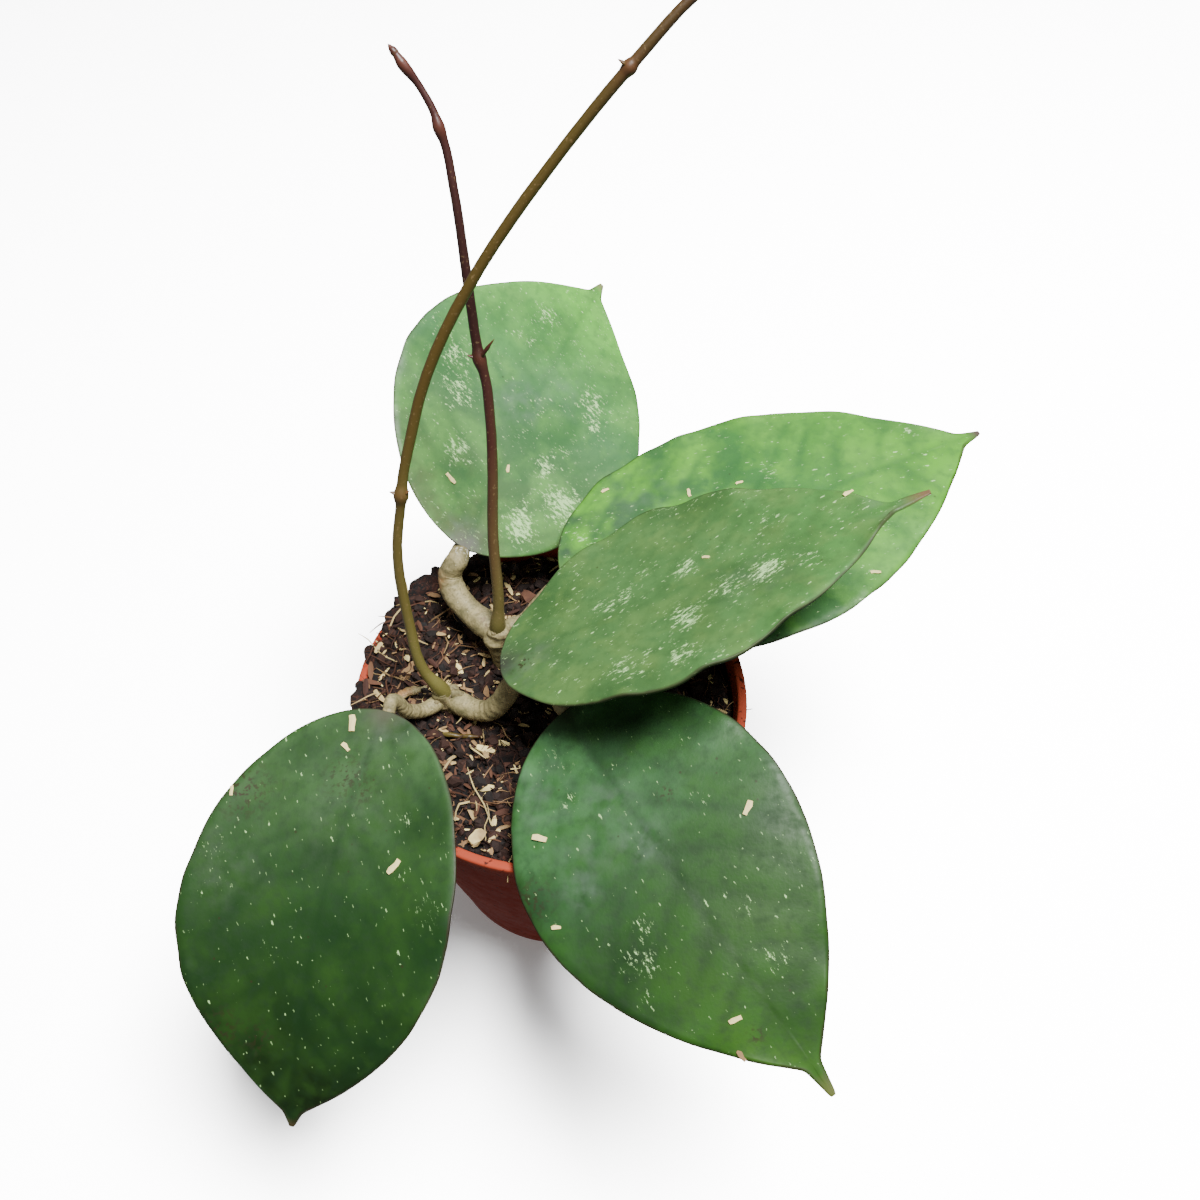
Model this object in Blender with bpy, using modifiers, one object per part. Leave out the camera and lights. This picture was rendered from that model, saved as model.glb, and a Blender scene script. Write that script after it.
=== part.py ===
"""A potted hoya: three rooted cuttings with five broad leaves and two long shoots, in a nursery pot.

Sizes are in millimetres and become metres in mm().  The origin is the centre of the pot's
underside, +Z is up, +X is to the right and +Y is away from the front.
"""

import math
from dataclasses import dataclass

import bmesh
import bpy
from mathutils import Matrix, Vector, noise

# Driving dimensions, in millimetres.
GAP = 0.3                   # clearance between neighbouring pieces
POT_TOP_RADIUS = 60.0
POT_BASE_RADIUS = 40.0
POT_HEIGHT = 104.0
POT_WALL = 1.6
POT_FLOOR = 2.2
POT_LIP_WIDTH = 2.8         # width of the flat ring round the mouth
POT_LIP_DEPTH = 5.0         # height of the thicker band under that ring
DRAIN_HOLE_RADIUS = 4.0
DRAIN_HOLE_RING = 27.0
DRAIN_HOLES = 8
DRAIN_TURN = 0.06           # turn of the ring of holes, as a fraction of their spacing

SOIL_LEVEL = 99.0           # height of the compost at the pot's middle
SOIL_TILT = 3.4             # it lies this much higher at the left wall, and lower at the right
SOIL_ROUGHNESS = 1.2
STEM_FOOT = 72.0            # height of the cut ends of the stems, deep in the compost

LEAF_THICKNESS = 1.1
LEAF_ROWS = 26
LEAF_COLUMNS = 9
LEAF_FOOT = 2.0             # half-width of a blade where its stalk meets it
LEAF_POINT = 0.6            # half-width of a blade at the very tip

STALK_SIDES = 3             # curve bevel resolution of the stalks: 10 sides
SHOOT_SIDES = 2


def mm(value):
    """Millimetres to metres, for a number or a triple."""
    if isinstance(value, (int, float)):
        return value / 1000.0
    return Vector(value) / 1000.0


# ---------------------------------------------------------------- scene helpers

def empty_scene():
    for item in list(bpy.data.objects):
        bpy.data.objects.remove(item, do_unlink=True)


def new_collection(name):
    collection = bpy.data.collections.new(name)
    bpy.context.scene.collection.children.link(collection)
    return collection


def make_material(name, colour, roughness):
    material = bpy.data.materials.new(name)
    material.use_nodes = True
    shader = material.node_tree.nodes["Principled BSDF"]
    shader.inputs["Base Color"].default_value = (*colour, 1.0)
    shader.inputs["Roughness"].default_value = roughness
    shader.inputs["Metallic"].default_value = 0.0
    return material


def add_mesh(name, bm, material, collection, smooth_angle=35.0):
    mesh = bpy.data.meshes.new(name)
    bmesh.ops.recalc_face_normals(bm, faces=bm.faces)
    bm.to_mesh(mesh)
    bm.free()
    mesh.materials.append(material)
    mesh.shade_smooth()
    mesh.set_sharp_from_angle(angle=math.radians(smooth_angle))
    piece = bpy.data.objects.new(name, mesh)
    collection.objects.link(piece)
    return piece


def add_cutter(name, bm, cutters, material):
    cutter = add_mesh(name, bm, material, cutters)
    cutter.hide_render = True
    cutter.display_type = "WIRE"
    return cutter


def cut(piece, cutter):
    modifier = piece.modifiers.new("cut_" + cutter.name, "BOOLEAN")
    modifier.operation = "DIFFERENCE"
    modifier.solver = "EXACT"
    modifier.object = cutter


def turned(profile, steps):
    """A closed bmesh of revolution about Z from (radius, height) pairs that start and end on the axis."""
    bm = bmesh.new()
    verts = [bm.verts.new(mm((radius, 0.0, height))) for radius, height in profile]
    edges = [bm.edges.new(pair) for pair in zip(verts, verts[1:])]
    bmesh.ops.spin(bm, geom=verts + edges, cent=(0, 0, 0), axis=(0, 0, 1), dvec=(0, 0, 0),
                   angle=math.tau, steps=steps, use_merge=True, use_duplicate=False)
    bmesh.ops.remove_doubles(bm, verts=bm.verts, dist=mm(0.01))
    return bm


def smooth_route(points, per_span):
    """Points of a smooth curve through (x, y, z, radius) tuples, whose slopes allow for uneven spacing."""
    knots = [Vector(p) for p in points]
    spans = [(b - a).to_3d().length for a, b in zip(knots, knots[1:])]
    slopes = [(b - a) / span for a, b, span in zip(knots, knots[1:], spans)]
    tangents = [slopes[0]]
    for index in range(1, len(slopes)):
        weight = spans[index - 1] / (spans[index - 1] + spans[index])
        tangents.append(slopes[index] * weight + slopes[index - 1] * (1 - weight))
    tangents.append(slopes[-1])
    route = []
    for index, span in enumerate(spans):
        for step in range(per_span):
            t = step / per_span
            route.append(knots[index] * (1 + 2 * t) * (1 - t) ** 2
                         + tangents[index] * span * t * (1 - t) ** 2
                         + knots[index + 1] * t * t * (3 - 2 * t)
                         - tangents[index + 1] * span * t * t * (1 - t))
    route.append(knots[-1])
    return route


def add_tube(name, points, material, collection, per_span=3, sides=STALK_SIDES):
    """A round stalk through (x, y, z, radius) points, made a mesh with its caps joined on."""
    curve = bpy.data.curves.new(name, "CURVE")
    curve.dimensions = "3D"
    curve.bevel_depth = mm(1.0)
    curve.bevel_resolution = sides
    curve.use_fill_caps = True
    spline = curve.splines.new("POLY")
    route = smooth_route(points, per_span)
    spline.points.add(len(route) - 1)
    for point, (x, y, z, radius) in zip(spline.points, route):
        point.co = (mm(x), mm(y), mm(z), 1.0)
        point.radius = radius
    guide = bpy.data.objects.new(name + "_guide", curve)
    collection.objects.link(guide)
    bpy.context.view_layer.update()
    evaluated = guide.evaluated_get(bpy.context.evaluated_depsgraph_get())
    mesh = bpy.data.meshes.new_from_object(evaluated)
    bpy.data.objects.remove(guide, do_unlink=True)
    bm = bmesh.new()
    bm.from_mesh(mesh)
    bpy.data.meshes.remove(mesh)
    bmesh.ops.remove_doubles(bm, verts=bm.verts, dist=mm(0.005))
    return add_mesh(name, bm, material, collection)


# ---------------------------------------------------------------- pot and compost

def wall_radius(height):
    """Outer radius of the pot's wall at a height."""
    return POT_BASE_RADIUS + (POT_TOP_RADIUS - POT_BASE_RADIUS) * height / POT_HEIGHT


def build_pot(collection, cutters, material):
    lip_foot = POT_HEIGHT - POT_LIP_DEPTH
    profile = [
        (0.0, 0.0),
        (POT_BASE_RADIUS - 1.0, 0.0),
        (wall_radius(1.0), 1.0),
        (wall_radius(lip_foot) - 0.6, lip_foot - 0.6),
        (wall_radius(lip_foot), lip_foot),
        (POT_TOP_RADIUS, POT_HEIGHT - 0.6),
        (POT_TOP_RADIUS - 0.6, POT_HEIGHT),
        (POT_TOP_RADIUS - POT_LIP_WIDTH + 0.4, POT_HEIGHT),
        (POT_TOP_RADIUS - POT_LIP_WIDTH, POT_HEIGHT - 0.4),
        (wall_radius(lip_foot) - POT_LIP_WIDTH, lip_foot),
        (wall_radius(lip_foot - 2) - POT_WALL, lip_foot - 2),
        (wall_radius(POT_FLOOR + 1) - POT_WALL, POT_FLOOR + 1),
        (wall_radius(POT_FLOOR) - POT_WALL - 1, POT_FLOOR),
        (0.0, POT_FLOOR),
    ]
    pot = add_mesh("pot", turned(profile, 56), material, collection)
    drains = bmesh.new()
    for index in range(DRAIN_HOLES):
        angle = math.tau * (index + DRAIN_TURN) / DRAIN_HOLES
        made = bmesh.ops.create_cone(drains, cap_ends=True, segments=16, radius1=mm(DRAIN_HOLE_RADIUS),
                                     radius2=mm(DRAIN_HOLE_RADIUS), depth=mm(3 * POT_FLOOR))
        centre = (DRAIN_HOLE_RING * math.cos(angle), DRAIN_HOLE_RING * math.sin(angle), POT_FLOOR / 2)
        bmesh.ops.translate(drains, verts=made["verts"], vec=mm(centre))
    cut(pot, add_cutter("drain_cutter", drains, cutters, material))
    return pot


def soil_height(x, y):
    """Height of the compost's surface in millimetres."""
    rough = noise.noise(Vector((x / 9.0, y / 9.0, 4.2)))
    return SOIL_LEVEL - SOIL_TILT * x / POT_TOP_RADIUS + SOIL_ROUGHNESS * rough


def build_soil(collection, material):
    floor = POT_FLOOR + GAP
    top = SOIL_LEVEL
    profile = [(0.0, floor), (wall_radius(floor) - POT_WALL - 1 - 2 * GAP, floor),
               (wall_radius(floor + 2) - POT_WALL - GAP - 0.1, floor + 2)]
    profile += [(wall_radius(top - 6) - POT_LIP_WIDTH - GAP - 0.1, top - 6),
                (wall_radius(top) - POT_LIP_WIDTH - 2 * GAP - 0.1, top)]
    rings = 9
    edge = profile[-1][0]
    profile += [(edge * (1 - (ring + 1) / rings), top) for ring in range(rings)]
    bm = turned(profile, 44)
    for vert in bm.verts:
        if vert.co.z > mm(top - 0.5):
            x, y = vert.co.x * 1000, vert.co.y * 1000
            vert.co.z = mm(soil_height(x, y))
            # The wall leans out, so a higher edge may also stand further out.
            lean = (soil_height(x, y) - top) * (POT_TOP_RADIUS - POT_BASE_RADIUS) / POT_HEIGHT
            if math.hypot(x, y) > edge - 0.5:
                vert.co.x *= 1 + lean / edge
                vert.co.y *= 1 + lean / edge
    return add_mesh("soil", bm, material, collection, 60.0)


def cut_socket(soil, name, x, y, radius, cutters, material):
    """A round hole in the compost that a buried stem stands in."""
    bm = bmesh.new()
    depth = POT_HEIGHT + 8 - (STEM_FOOT - GAP)
    bmesh.ops.create_cone(bm, cap_ends=True, segments=20, radius1=mm(radius + GAP),
                          radius2=mm(radius + GAP), depth=mm(depth))
    bmesh.ops.translate(bm, verts=bm.verts, vec=mm((x, y, STEM_FOOT - GAP + depth / 2)))
    cut(soil, add_cutter(name, bm, cutters, material))


# ---------------------------------------------------------------- leaves

@dataclass
class Blade:
    """One leaf blade: where its stalk meets it, how it leans and bends, and its outline."""
    foot: tuple             # the end of the stalk, mm
    heading: float          # compass direction of the midrib, degrees from +X towards +Y
    rise: float             # how steeply the midrib climbs at the foot, degrees
    droop: float            # how much of that climb is lost evenly along the midrib, degrees
    roll: float             # bank of the blade about the midrib, left side up, degrees
    nod: float = 3.0        # extra droop gathered near the tip, degrees
    sweep: float = 0.0      # how far the heading turns along the midrib, degrees
    length: float = 115.0   # foot to the end of the broad part, mm
    left: float = 40.0      # greatest half-width left of the midrib, mm
    right: float = 40.0
    widest: float = 0.45    # where the blade is widest, as a fraction of its length
    shoulder: float = 1.9   # roundness of the foot end: 2 is an ellipse
    taper: float = 2.0      # fullness towards the tip: 2 is a parabola
    point: float = 5.0      # length of the narrow drawn-out tip, mm
    cup: float = 2.0        # how far the margins stand above the midrib at the widest, mm

    def half_width(self, along, greatest):
        """Half-width in mm at a distance along the midrib, for a side of the given half-width."""
        reach = min(along / self.length, 1.0)
        if reach < self.widest:
            inner = 1 - ((self.widest - reach) / self.widest) ** self.shoulder
            broad = greatest * max(inner, 0.0) ** (1 / self.shoulder)
        else:
            broad = greatest * (1 - ((reach - self.widest) / (1 - self.widest)) ** self.taper)
        if along < self.length - 1.2 * self.point:
            return max(broad, LEAF_FOOT)
        left_over = (self.length + self.point - along) / (2.2 * self.point)
        narrow = 0.085 * (self.left + self.right) / 2 * max(left_over, 0.0) ** 0.9
        blend = 0.5 * (broad + narrow + math.sqrt((broad - narrow) ** 2 + 0.6))
        return max(blend if along < self.length + self.point - 0.01 else 0.0, LEAF_POINT)

    def frame(self, fraction):
        """Direction of the midrib, and the blade's left and up, at a fraction of the whole length."""
        heading = math.radians(self.heading + self.sweep * fraction)
        rise = math.radians(self.rise - self.droop * fraction - self.nod * fraction ** 3)
        ahead = Vector((math.cos(rise) * math.cos(heading), math.cos(rise) * math.sin(heading), math.sin(rise)))
        left = Vector((-math.sin(heading), math.cos(heading), 0.0))
        up = ahead.cross(left)
        bank = math.radians(self.roll)
        return ahead, left * math.cos(bank) + up * math.sin(bank), up * math.cos(bank) - left * math.sin(bank)

    def lift(self, offset):
        """Height of the blade above its midrib plane at a distance out from the midrib, mm."""
        return self.cup * (2 * offset / (self.left + self.right)) ** 2

    def rows(self, count):
        """(distance along, midrib point, left, up) for each row, closer together at both ends."""
        total = self.length + self.point
        fractions = [0.5 * i / count + 0.25 * (1 - math.cos(math.pi * i / count)) for i in range(count + 1)]
        place = Vector(self.foot)
        rows = []
        before = None
        for fraction in fractions:
            ahead, left, up = self.frame(fraction)
            if before is not None:
                place = place + (ahead + before[1]) / 2 * total * (fraction - before[0])
            rows.append((total * fraction, place, left, up))
            before = (fraction, ahead)
        return rows


# Each blade names only what sets it apart from the usual one.
BLADES = {
    "leaf_back": Blade((-27, 35, 130), heading=69, rise=15, droop=12, roll=33, nod=6, left=45, right=41,
                       shoulder=1.8),
    "leaf_back_right": Blade((4, 25, 125), heading=17, rise=10, droop=5, roll=5, nod=0, sweep=5, length=136,
                             right=42, shoulder=2.2, cup=-2),
    "leaf_top_right": Blade((-13, -9, 130), heading=13, rise=23, droop=0, roll=-18, sweep=-4, length=117,
                            right=38, point=9),
    "leaf_front_right": Blade((5, -20, 123), heading=-59, rise=0, droop=20, roll=22, sweep=8, length=113,
                              left=38, right=39, widest=0.4, point=7, cup=-1),
    "leaf_front_left": Blade((-46, -18, 120), heading=-108, rise=-10, droop=33, roll=6, nod=9, sweep=11,
                             length=113, left=38, widest=0.5, taper=2.2, point=3, cup=4),
}


def build_leaf(name, blade, collection, material):
    bm = bmesh.new()
    bmesh.ops.create_grid(bm, x_segments=LEAF_ROWS, y_segments=LEAF_COLUMNS, size=1.0)
    rows = blade.rows(LEAF_ROWS)
    for vert in bm.verts:
        row = round((vert.co.x + 1) / 2 * LEAF_ROWS)
        across = vert.co.y
        along, place, left, up = rows[row]
        offset = across * blade.half_width(along, blade.left if across > 0 else blade.right)
        vert.co = mm(place + left * offset + up * blade.lift(offset))
    leaf = add_mesh(name, bm, material, collection, 80.0)
    solid = leaf.modifiers.new("thickness", "SOLIDIFY")
    solid.thickness = mm(LEAF_THICKNESS)
    solid.offset = 0.0
    solid.use_even_offset = True
    return leaf


# ---------------------------------------------------------------- stems, stalks and shoots

# (x, y, z, radius) in mm.  Each stem stands upright in the compost.  The last point but one is the
# middle of its swollen node, and the last is its top.
STEMS = {
    "stem_back": [(-15.2, 13.4, STEM_FOOT, 3.4), (-15.2, 13.4, 90, 3.6), (-15.2, 13.4, 102, 3.7),
                  (-15.8, 13.9, 108, 4.0), (-16.5, 14.4, 113, 4.8), (-16.2, 13.8, 116.4, 3.4)],
    "stem_front": [(-31, -3.1, STEM_FOOT, 3.2), (-31, -3.1, 92, 3.4), (-31, -3.1, 101, 4.0),
                   (-31.3, -3.3, 105, 4.4), (-32.5, -3.9, 108.4, 3.0)],
    "stem_hidden": [(3, 1, STEM_FOOT, 3.0), (3, 1, 90, 3.1), (3, 1, 104, 3.2),
                    (3, 1, 109.5, 3.9), (3, 1, 112.5, 2.6)],
}
NODE, TOP = -2, -1

# Each stalk runs from its stem's node to the foot of its blade: leave_node() and seat_stalk() add its ends.
STALKS = {
    "leaf_back": ("stem_back", [(-26.8, 23.0, 115.8, 3.9), (-30.6, 27.4, 118.4, 3.9),
                                (-32.0, 31.4, 122.8, 3.9)]),
    "leaf_back_right": ("stem_back", [(-8.0, 17.6, 115.6, 2.8), (-3.0, 21.6, 120.2, 2.6)]),
    "leaf_top_right": ("stem_front", [(-22.6, -8.4, 105.8, 3.2), (-18.6, -9.9, 107.8, 3.3),
                                      (-14.6, -10.3, 112.5, 3.3), (-11.4, -9.6, 119.0, 3.2)]),
    "leaf_front_right": ("stem_hidden", [(3.4, -7.8, 116.2, 2.6), (3.6, -12.4, 120.8, 2.4)]),
    "leaf_front_left": ("stem_front", [(-37.8, -8.4, 105.8, 2.2), (-41.6, -11.8, 110.6, 2.2)]),
}
SEATED_UNDER = {"leaf_top_right"}       # this blade lies on the end of its stalk; the others run on from it
STALK_END_RADIUS = {"leaf_back": 3.5, "leaf_back_right": 2.2, "leaf_top_right": 2.6,
                    "leaf_front_right": 2.2, "leaf_front_left": 2.0}
STALK_LEAD = 3.2                        # straight length of a stalk where it meets its blade
COLLAR = 0.9                            # straight length of a stalk or shoot where it leaves its stem

# Each shoot runs up from the top of its stem.  The wider points are its joints.
SHOOTS = {
    "shoot_purple": ("stem_back", [
        (-15.5, 16, 125, 1.7), (-16, 24, 146, 1.6), (-15, 33, 169, 1.5), (-15, 38, 182, 1.4),
        (-16, 42.5, 193, 1.4), (-17, 44, 196.5, 1.9), (-17.5, 45.5, 200, 1.35), (-19, 52, 216, 1.3),
        (-21, 60, 237, 1.15), (-22.5, 64, 246, 1.1), (-23.5, 65, 249, 1.5), (-24.5, 66.5, 252, 1.0),
        (-28, 69, 258, 0.95), (-31, 70, 262, 1.35), (-32.5, 71, 264, 0.9)]),
    "shoot_olive": ("stem_front", [
        (-37, -2.5, 118, 1.6), (-40, 4, 134, 1.5), (-41, 13, 157, 1.45), (-39, 17.5, 168, 1.4),
        (-38.5, 18.5, 171, 2.1), (-38, 20, 174, 1.4), (-35, 24.5, 185, 1.4), (-29, 31, 202, 1.35),
        (-14, 41, 227, 1.25), (6, 51, 251, 1.15), (20, 56.5, 266, 1.1), (21.5, 57, 267, 1.5),
        (23, 57.5, 268.5, 1.0), (35, 62.5, 280, 0.9), (50, 67, 289, 0.8), (51.5, 67, 289.5, 1.2),
        (53, 67.5, 290, 0.8)]),
}
SHOOT_BASE_RADIUS = 2.1


def leave_node(stem, onward):
    """The first two points of a stalk, square to the node of its stem and heading for its next point."""
    *centre, girth = STEMS[stem][NODE]
    course = (Vector(onward[:3]) - Vector(centre)).normalized()
    start = Vector(centre) + course * (girth + GAP)
    return [(*start, onward[3]), (*(start + course * COLLAR), onward[3])]


def leave_top(stem):
    """The first two points of a shoot, straight up from the top of its stem."""
    top = Vector(STEMS[stem][TOP][:3])
    course = (top - Vector(STEMS[stem][NODE][:3])).normalized()
    start = top + course * GAP
    return [(*start, SHOOT_BASE_RADIUS), (*(start + course * COLLAR), SHOOT_BASE_RADIUS)]


def seat_stalk(name):
    """The last points of a stalk, which run straight to the foot of its blade."""
    blade, radius = BLADES[name], STALK_END_RADIUS[name]
    ahead, _, up = blade.frame(0.0)
    if name in SEATED_UNDER:
        seat = Vector(blade.foot) + ahead * radius - up * (LEAF_THICKNESS / 2 + GAP)
        course = up
    else:
        seat = Vector(blade.foot) - ahead * GAP
        course = ahead
    return [(*(seat - course * back), radius) for back in (STALK_LEAD, STALK_LEAD / 3, 0.0)]


def stalk_route(name):
    stem, points = STALKS[name]
    return leave_node(stem, points[0]) + points + seat_stalk(name)


def shoot_route(name):
    stem, points = SHOOTS[name]
    return leave_top(stem) + points


# Small growths: what carries each one, the point of its route, where it heads, and its length and radius.
# A bud with no heading stands on the end of its shoot and goes straight on.
BUDS = {
    "stem_bud": ("leaf_back", 1, (0.2, 0.2, 1.0), 2.6, 1.1),
    "purple_bract": ("shoot_purple", 7, (-1.0, -0.2, 0.6), 2.6, 0.5),
    "purple_bud": ("shoot_purple", 7, (0.55, -0.1, 0.8), 7.0, 0.9),
    "purple_tip_bud": ("shoot_purple", -1, None, 2.8, 1.1),
    "olive_bract_left": ("shoot_olive", 6, (-1.0, -0.2, 0.7), 2.2, 0.5),
    "olive_bract_right": ("shoot_olive", 6, (1.0, -0.2, 0.7), 2.2, 0.5),
    "olive_bud": ("shoot_olive", 13, (-0.7, -0.2, 0.7), 2.2, 0.7),
    "olive_tip_bud": ("shoot_olive", -1, None, 3.6, 0.9),
}


def build_bud(name, collection, material):
    carrier, knot, heading, length, radius = BUDS[name]
    route = stalk_route(carrier) if carrier in STALKS else shoot_route(carrier)
    here, girth = Vector(route[knot][:3]), route[knot][3]
    other = Vector(route[knot - 1 if knot else 1][:3])
    axis = (here - other).normalized()
    if heading is None:
        course = axis
        start = here + axis * GAP
    else:
        course = Vector(heading).normalized()
        lean = course.dot(axis)
        outward = (course - axis * lean).normalized()
        start = here + outward * (girth + GAP + radius * abs(lean))
    points = [(*start, radius * 0.75), (*(start + course * length * 0.4), radius),
              (*(start + course * length), radius * 0.3)]
    return add_tube(name, points, material, collection, 2, SHOOT_SIDES)


# ---------------------------------------------------------------- loose things on the compost

# Centre x and y, length, width, thickness in mm, and the turn about Z in degrees.
CHIPS = {
    "bark_chip_front": (-19.5, -48.0, 7.0, 5.0, 2.4, 20),
    "bark_chip_middle": (-19.0, -19.5, 6.5, 2.6, 1.6, -15),
    "bark_chip_left": (-44.0, 8.0, 9.0, 2.6, 1.8, 60),
    "bark_chip_right": (38.0, 26.0, 6.0, 4.0, 2.2, 40),
    "bark_chip_back": (-8.0, 38.0, 7.0, 3.4, 2.0, -35),
}
STRAND = [(-50.4, -4.6, 0.9), (-47.0, -2.4, 1.5), (-43.0, -0.4, 1.5), (-38.4, 1.6, 0.8)]
TWIG = [(-33.0, -14.0, 0.6), (-27.0, -14.9, 0.7), (-21.5, -15.0, 0.6)]


def highest_soil(points):
    return max(soil_height(x, y) for x, y in points)


def build_chip(name, spec, collection, material):
    x, y, length, width, thickness, turn = spec
    bm = bmesh.new()
    bmesh.ops.create_cube(bm, size=1.0)
    bmesh.ops.scale(bm, vec=mm((length, width, thickness)), verts=bm.verts)
    bmesh.ops.bevel(bm, geom=bm.edges, offset=mm(thickness * 0.22), segments=1, profile=0.5,
                    affect="EDGES", material=-1)
    bmesh.ops.rotate(bm, verts=bm.verts, cent=(0, 0, 0), matrix=Matrix.Rotation(math.radians(turn), 3, "Z"))
    reach = [(x + length * 0.5 * u, y + length * 0.5 * v) for u in (-1, -0.5, 0, 0.5, 1) for v in (-1, 0, 1)]
    height = highest_soil(reach) + GAP + thickness / 2
    bmesh.ops.translate(bm, verts=bm.verts, vec=mm((x, y, height)))
    return add_mesh(name, bm, material, collection, 25.0)


def build_lying(name, points, collection, material):
    """A thin piece that lies along the compost through (x, y, radius) points."""
    route = []
    for x, y, radius in points:
        near = [(x + u, y + v) for u in (-2, 0, 2) for v in (-2, 0, 2)]
        route.append((x, y, highest_soil(near) + GAP + radius, radius))
    return add_tube(name, route, material, collection, 3, SHOOT_SIDES)


# ---------------------------------------------------------------- the whole plant

def build():
    empty_scene()
    plant = new_collection("potted_hoya")
    cutters = new_collection("cutters")

    plastic = make_material("terracotta_plastic", (0.36, 0.075, 0.035), 0.5)
    compost = make_material("coir_compost", (0.035, 0.018, 0.011), 0.95)
    wood = make_material("bark_wood", (0.62, 0.46, 0.25), 0.8)
    stalk = make_material("cream_stalk", (0.50, 0.45, 0.27), 0.55)
    leaf = make_material("hoya_leaf", (0.06, 0.17, 0.05), 0.35)
    purple = make_material("purple_shoot", (0.085, 0.030, 0.024), 0.45)
    olive = make_material("olive_shoot", (0.15, 0.10, 0.03), 0.45)

    build_pot(plant, cutters, plastic)
    soil = build_soil(plant, compost)
    for name, points in STEMS.items():
        add_tube(name, points, stalk, plant)
        x, y, _, radius = points[2]
        cut_socket(soil, name + "_socket", x, y, radius + 0.1, cutters, compost)
    for name in STALKS:
        add_tube(name.replace("leaf", "stalk"), stalk_route(name), stalk, plant)
    for name, blade in BLADES.items():
        build_leaf(name, blade, plant, leaf)
    for name in SHOOTS:
        add_tube(name, shoot_route(name), purple if name == "shoot_purple" else olive, plant, 2, SHOOT_SIDES)
    for name in BUDS:
        build_bud(name, plant, purple if name.startswith("purple") else olive)
    for name, spec in CHIPS.items():
        build_chip(name, spec, plant, wood)
    build_lying("papery_strand", STRAND, plant, wood)
    build_lying("green_twig", TWIG, plant, olive)


build()
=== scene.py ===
"""Looks of a potted hoya: five broad leaves and two long shoots from three rooted cuttings.

The CAD model is loaded as a fixed frame, and finer pieces are built over its solids in the same
frame: the origin is the centre of the pot's underside, +Z is up, +X is to the right and +Y is
away from the front.  Sizes are in millimetres and become metres in mm().
"""

import logging
import math
import random
from dataclasses import dataclass, field
from enum import Enum
from typing import Any, Iterable, Mapping, Sequence, Union

import bmesh
import bpy
from mathutils import Matrix, Vector, noise

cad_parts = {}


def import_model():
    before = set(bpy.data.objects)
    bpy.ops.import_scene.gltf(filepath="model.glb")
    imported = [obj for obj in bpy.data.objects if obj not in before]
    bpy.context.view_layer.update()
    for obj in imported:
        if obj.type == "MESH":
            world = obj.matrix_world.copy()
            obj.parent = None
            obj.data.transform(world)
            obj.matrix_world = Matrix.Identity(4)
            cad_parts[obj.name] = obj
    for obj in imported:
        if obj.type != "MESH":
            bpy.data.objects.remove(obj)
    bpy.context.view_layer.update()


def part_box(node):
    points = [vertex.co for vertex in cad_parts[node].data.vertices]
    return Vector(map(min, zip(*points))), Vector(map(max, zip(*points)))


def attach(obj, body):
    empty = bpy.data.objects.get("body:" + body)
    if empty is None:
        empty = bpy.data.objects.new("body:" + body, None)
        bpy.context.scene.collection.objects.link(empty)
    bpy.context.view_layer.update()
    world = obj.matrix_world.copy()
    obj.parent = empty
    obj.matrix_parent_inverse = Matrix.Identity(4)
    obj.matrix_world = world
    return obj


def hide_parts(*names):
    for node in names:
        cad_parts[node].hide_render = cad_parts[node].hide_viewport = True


Tree, Socket, Material = bpy.types.NodeTree, bpy.types.NodeSocket, bpy.types.Material
LOG = logging.getLogger("potted_hoya")

# Sockets of Blender's Mix node when it mixes colours.
MIX_FACTOR, MIX_A, MIX_B, MIX_RESULT = 0, 6, 7, 2

# Sizes shared with the CAD model.
POT_TOP_RADIUS = 60.0
POT_BASE_RADIUS = 40.0
POT_HEIGHT = 104.0
POT_WALL = 1.6
POT_FLOOR = 2.2
SOIL_LEVEL = 99.0
SOIL_TILT = 3.4

Number = Union[int, float]
Point = tuple[float, float, float]
Knot = tuple[float, float, float, float]        # x, y, z and radius
Colour = tuple[float, float, float, float]


def mm(value: Union[Number, Sequence[float], Vector]) -> Union[float, Vector]:
    """Turn millimetres into metres.

    Args:
        value: A length or a place in millimetres.

    Returns:
        The same in metres.
    """
    if isinstance(value, (int, float)):
        return value / 1000.0
    return Vector(value) / 1000.0


def linear(code: str) -> Colour:
    """Turn an sRGB hex code into a linear colour.

    Args:
        code: Six hex digits, such as "6f8f5a".

    Returns:
        Red, green, blue and an alpha of 1.
    """
    parts = [int(code[place:place + 2], 16) / 255 for place in (0, 2, 4)]
    red, green, blue = (part / 12.92 if part <= 0.04045 else ((part + 0.055) / 1.055) ** 2.4
                        for part in parts)
    return red, green, blue, 1.0


def per_metre(size: float) -> float:
    """Return a texture scale at which one cell of the pattern is that many millimetres."""
    return 1000.0 / size


def add_node(tree: Tree, kind: str, inputs: Mapping[Union[str, int], Any] | None = None,
             stops: Sequence[tuple[float, str]] = (), **settings: Any) -> bpy.types.Node:
    """Add a node with its settings, values and links.

    Args:
        tree: The material's node tree.
        kind: The node's type name, without the leading ShaderNode.
        inputs: Input name or number to a constant, or to the socket it is linked from.
        stops: Position and hex colour of each stop of a colour ramp.
        **settings: Properties of the node itself.

    Returns:
        The new node.
    """
    node = tree.nodes.new("ShaderNode" + kind)
    for name, value in settings.items():
        setattr(node, name, value)
    for place, value in (inputs or {}).items():
        if isinstance(value, Socket):
            tree.links.new(value, node.inputs[place])
        else:
            node.inputs[place].default_value = value
    if stops:
        elements = node.color_ramp.elements
        while len(elements) < len(stops):
            elements.new(1.0)
        for element, (position, code) in zip(elements, stops):
            element.position = position
            element.color = linear(code)
    return node


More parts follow.
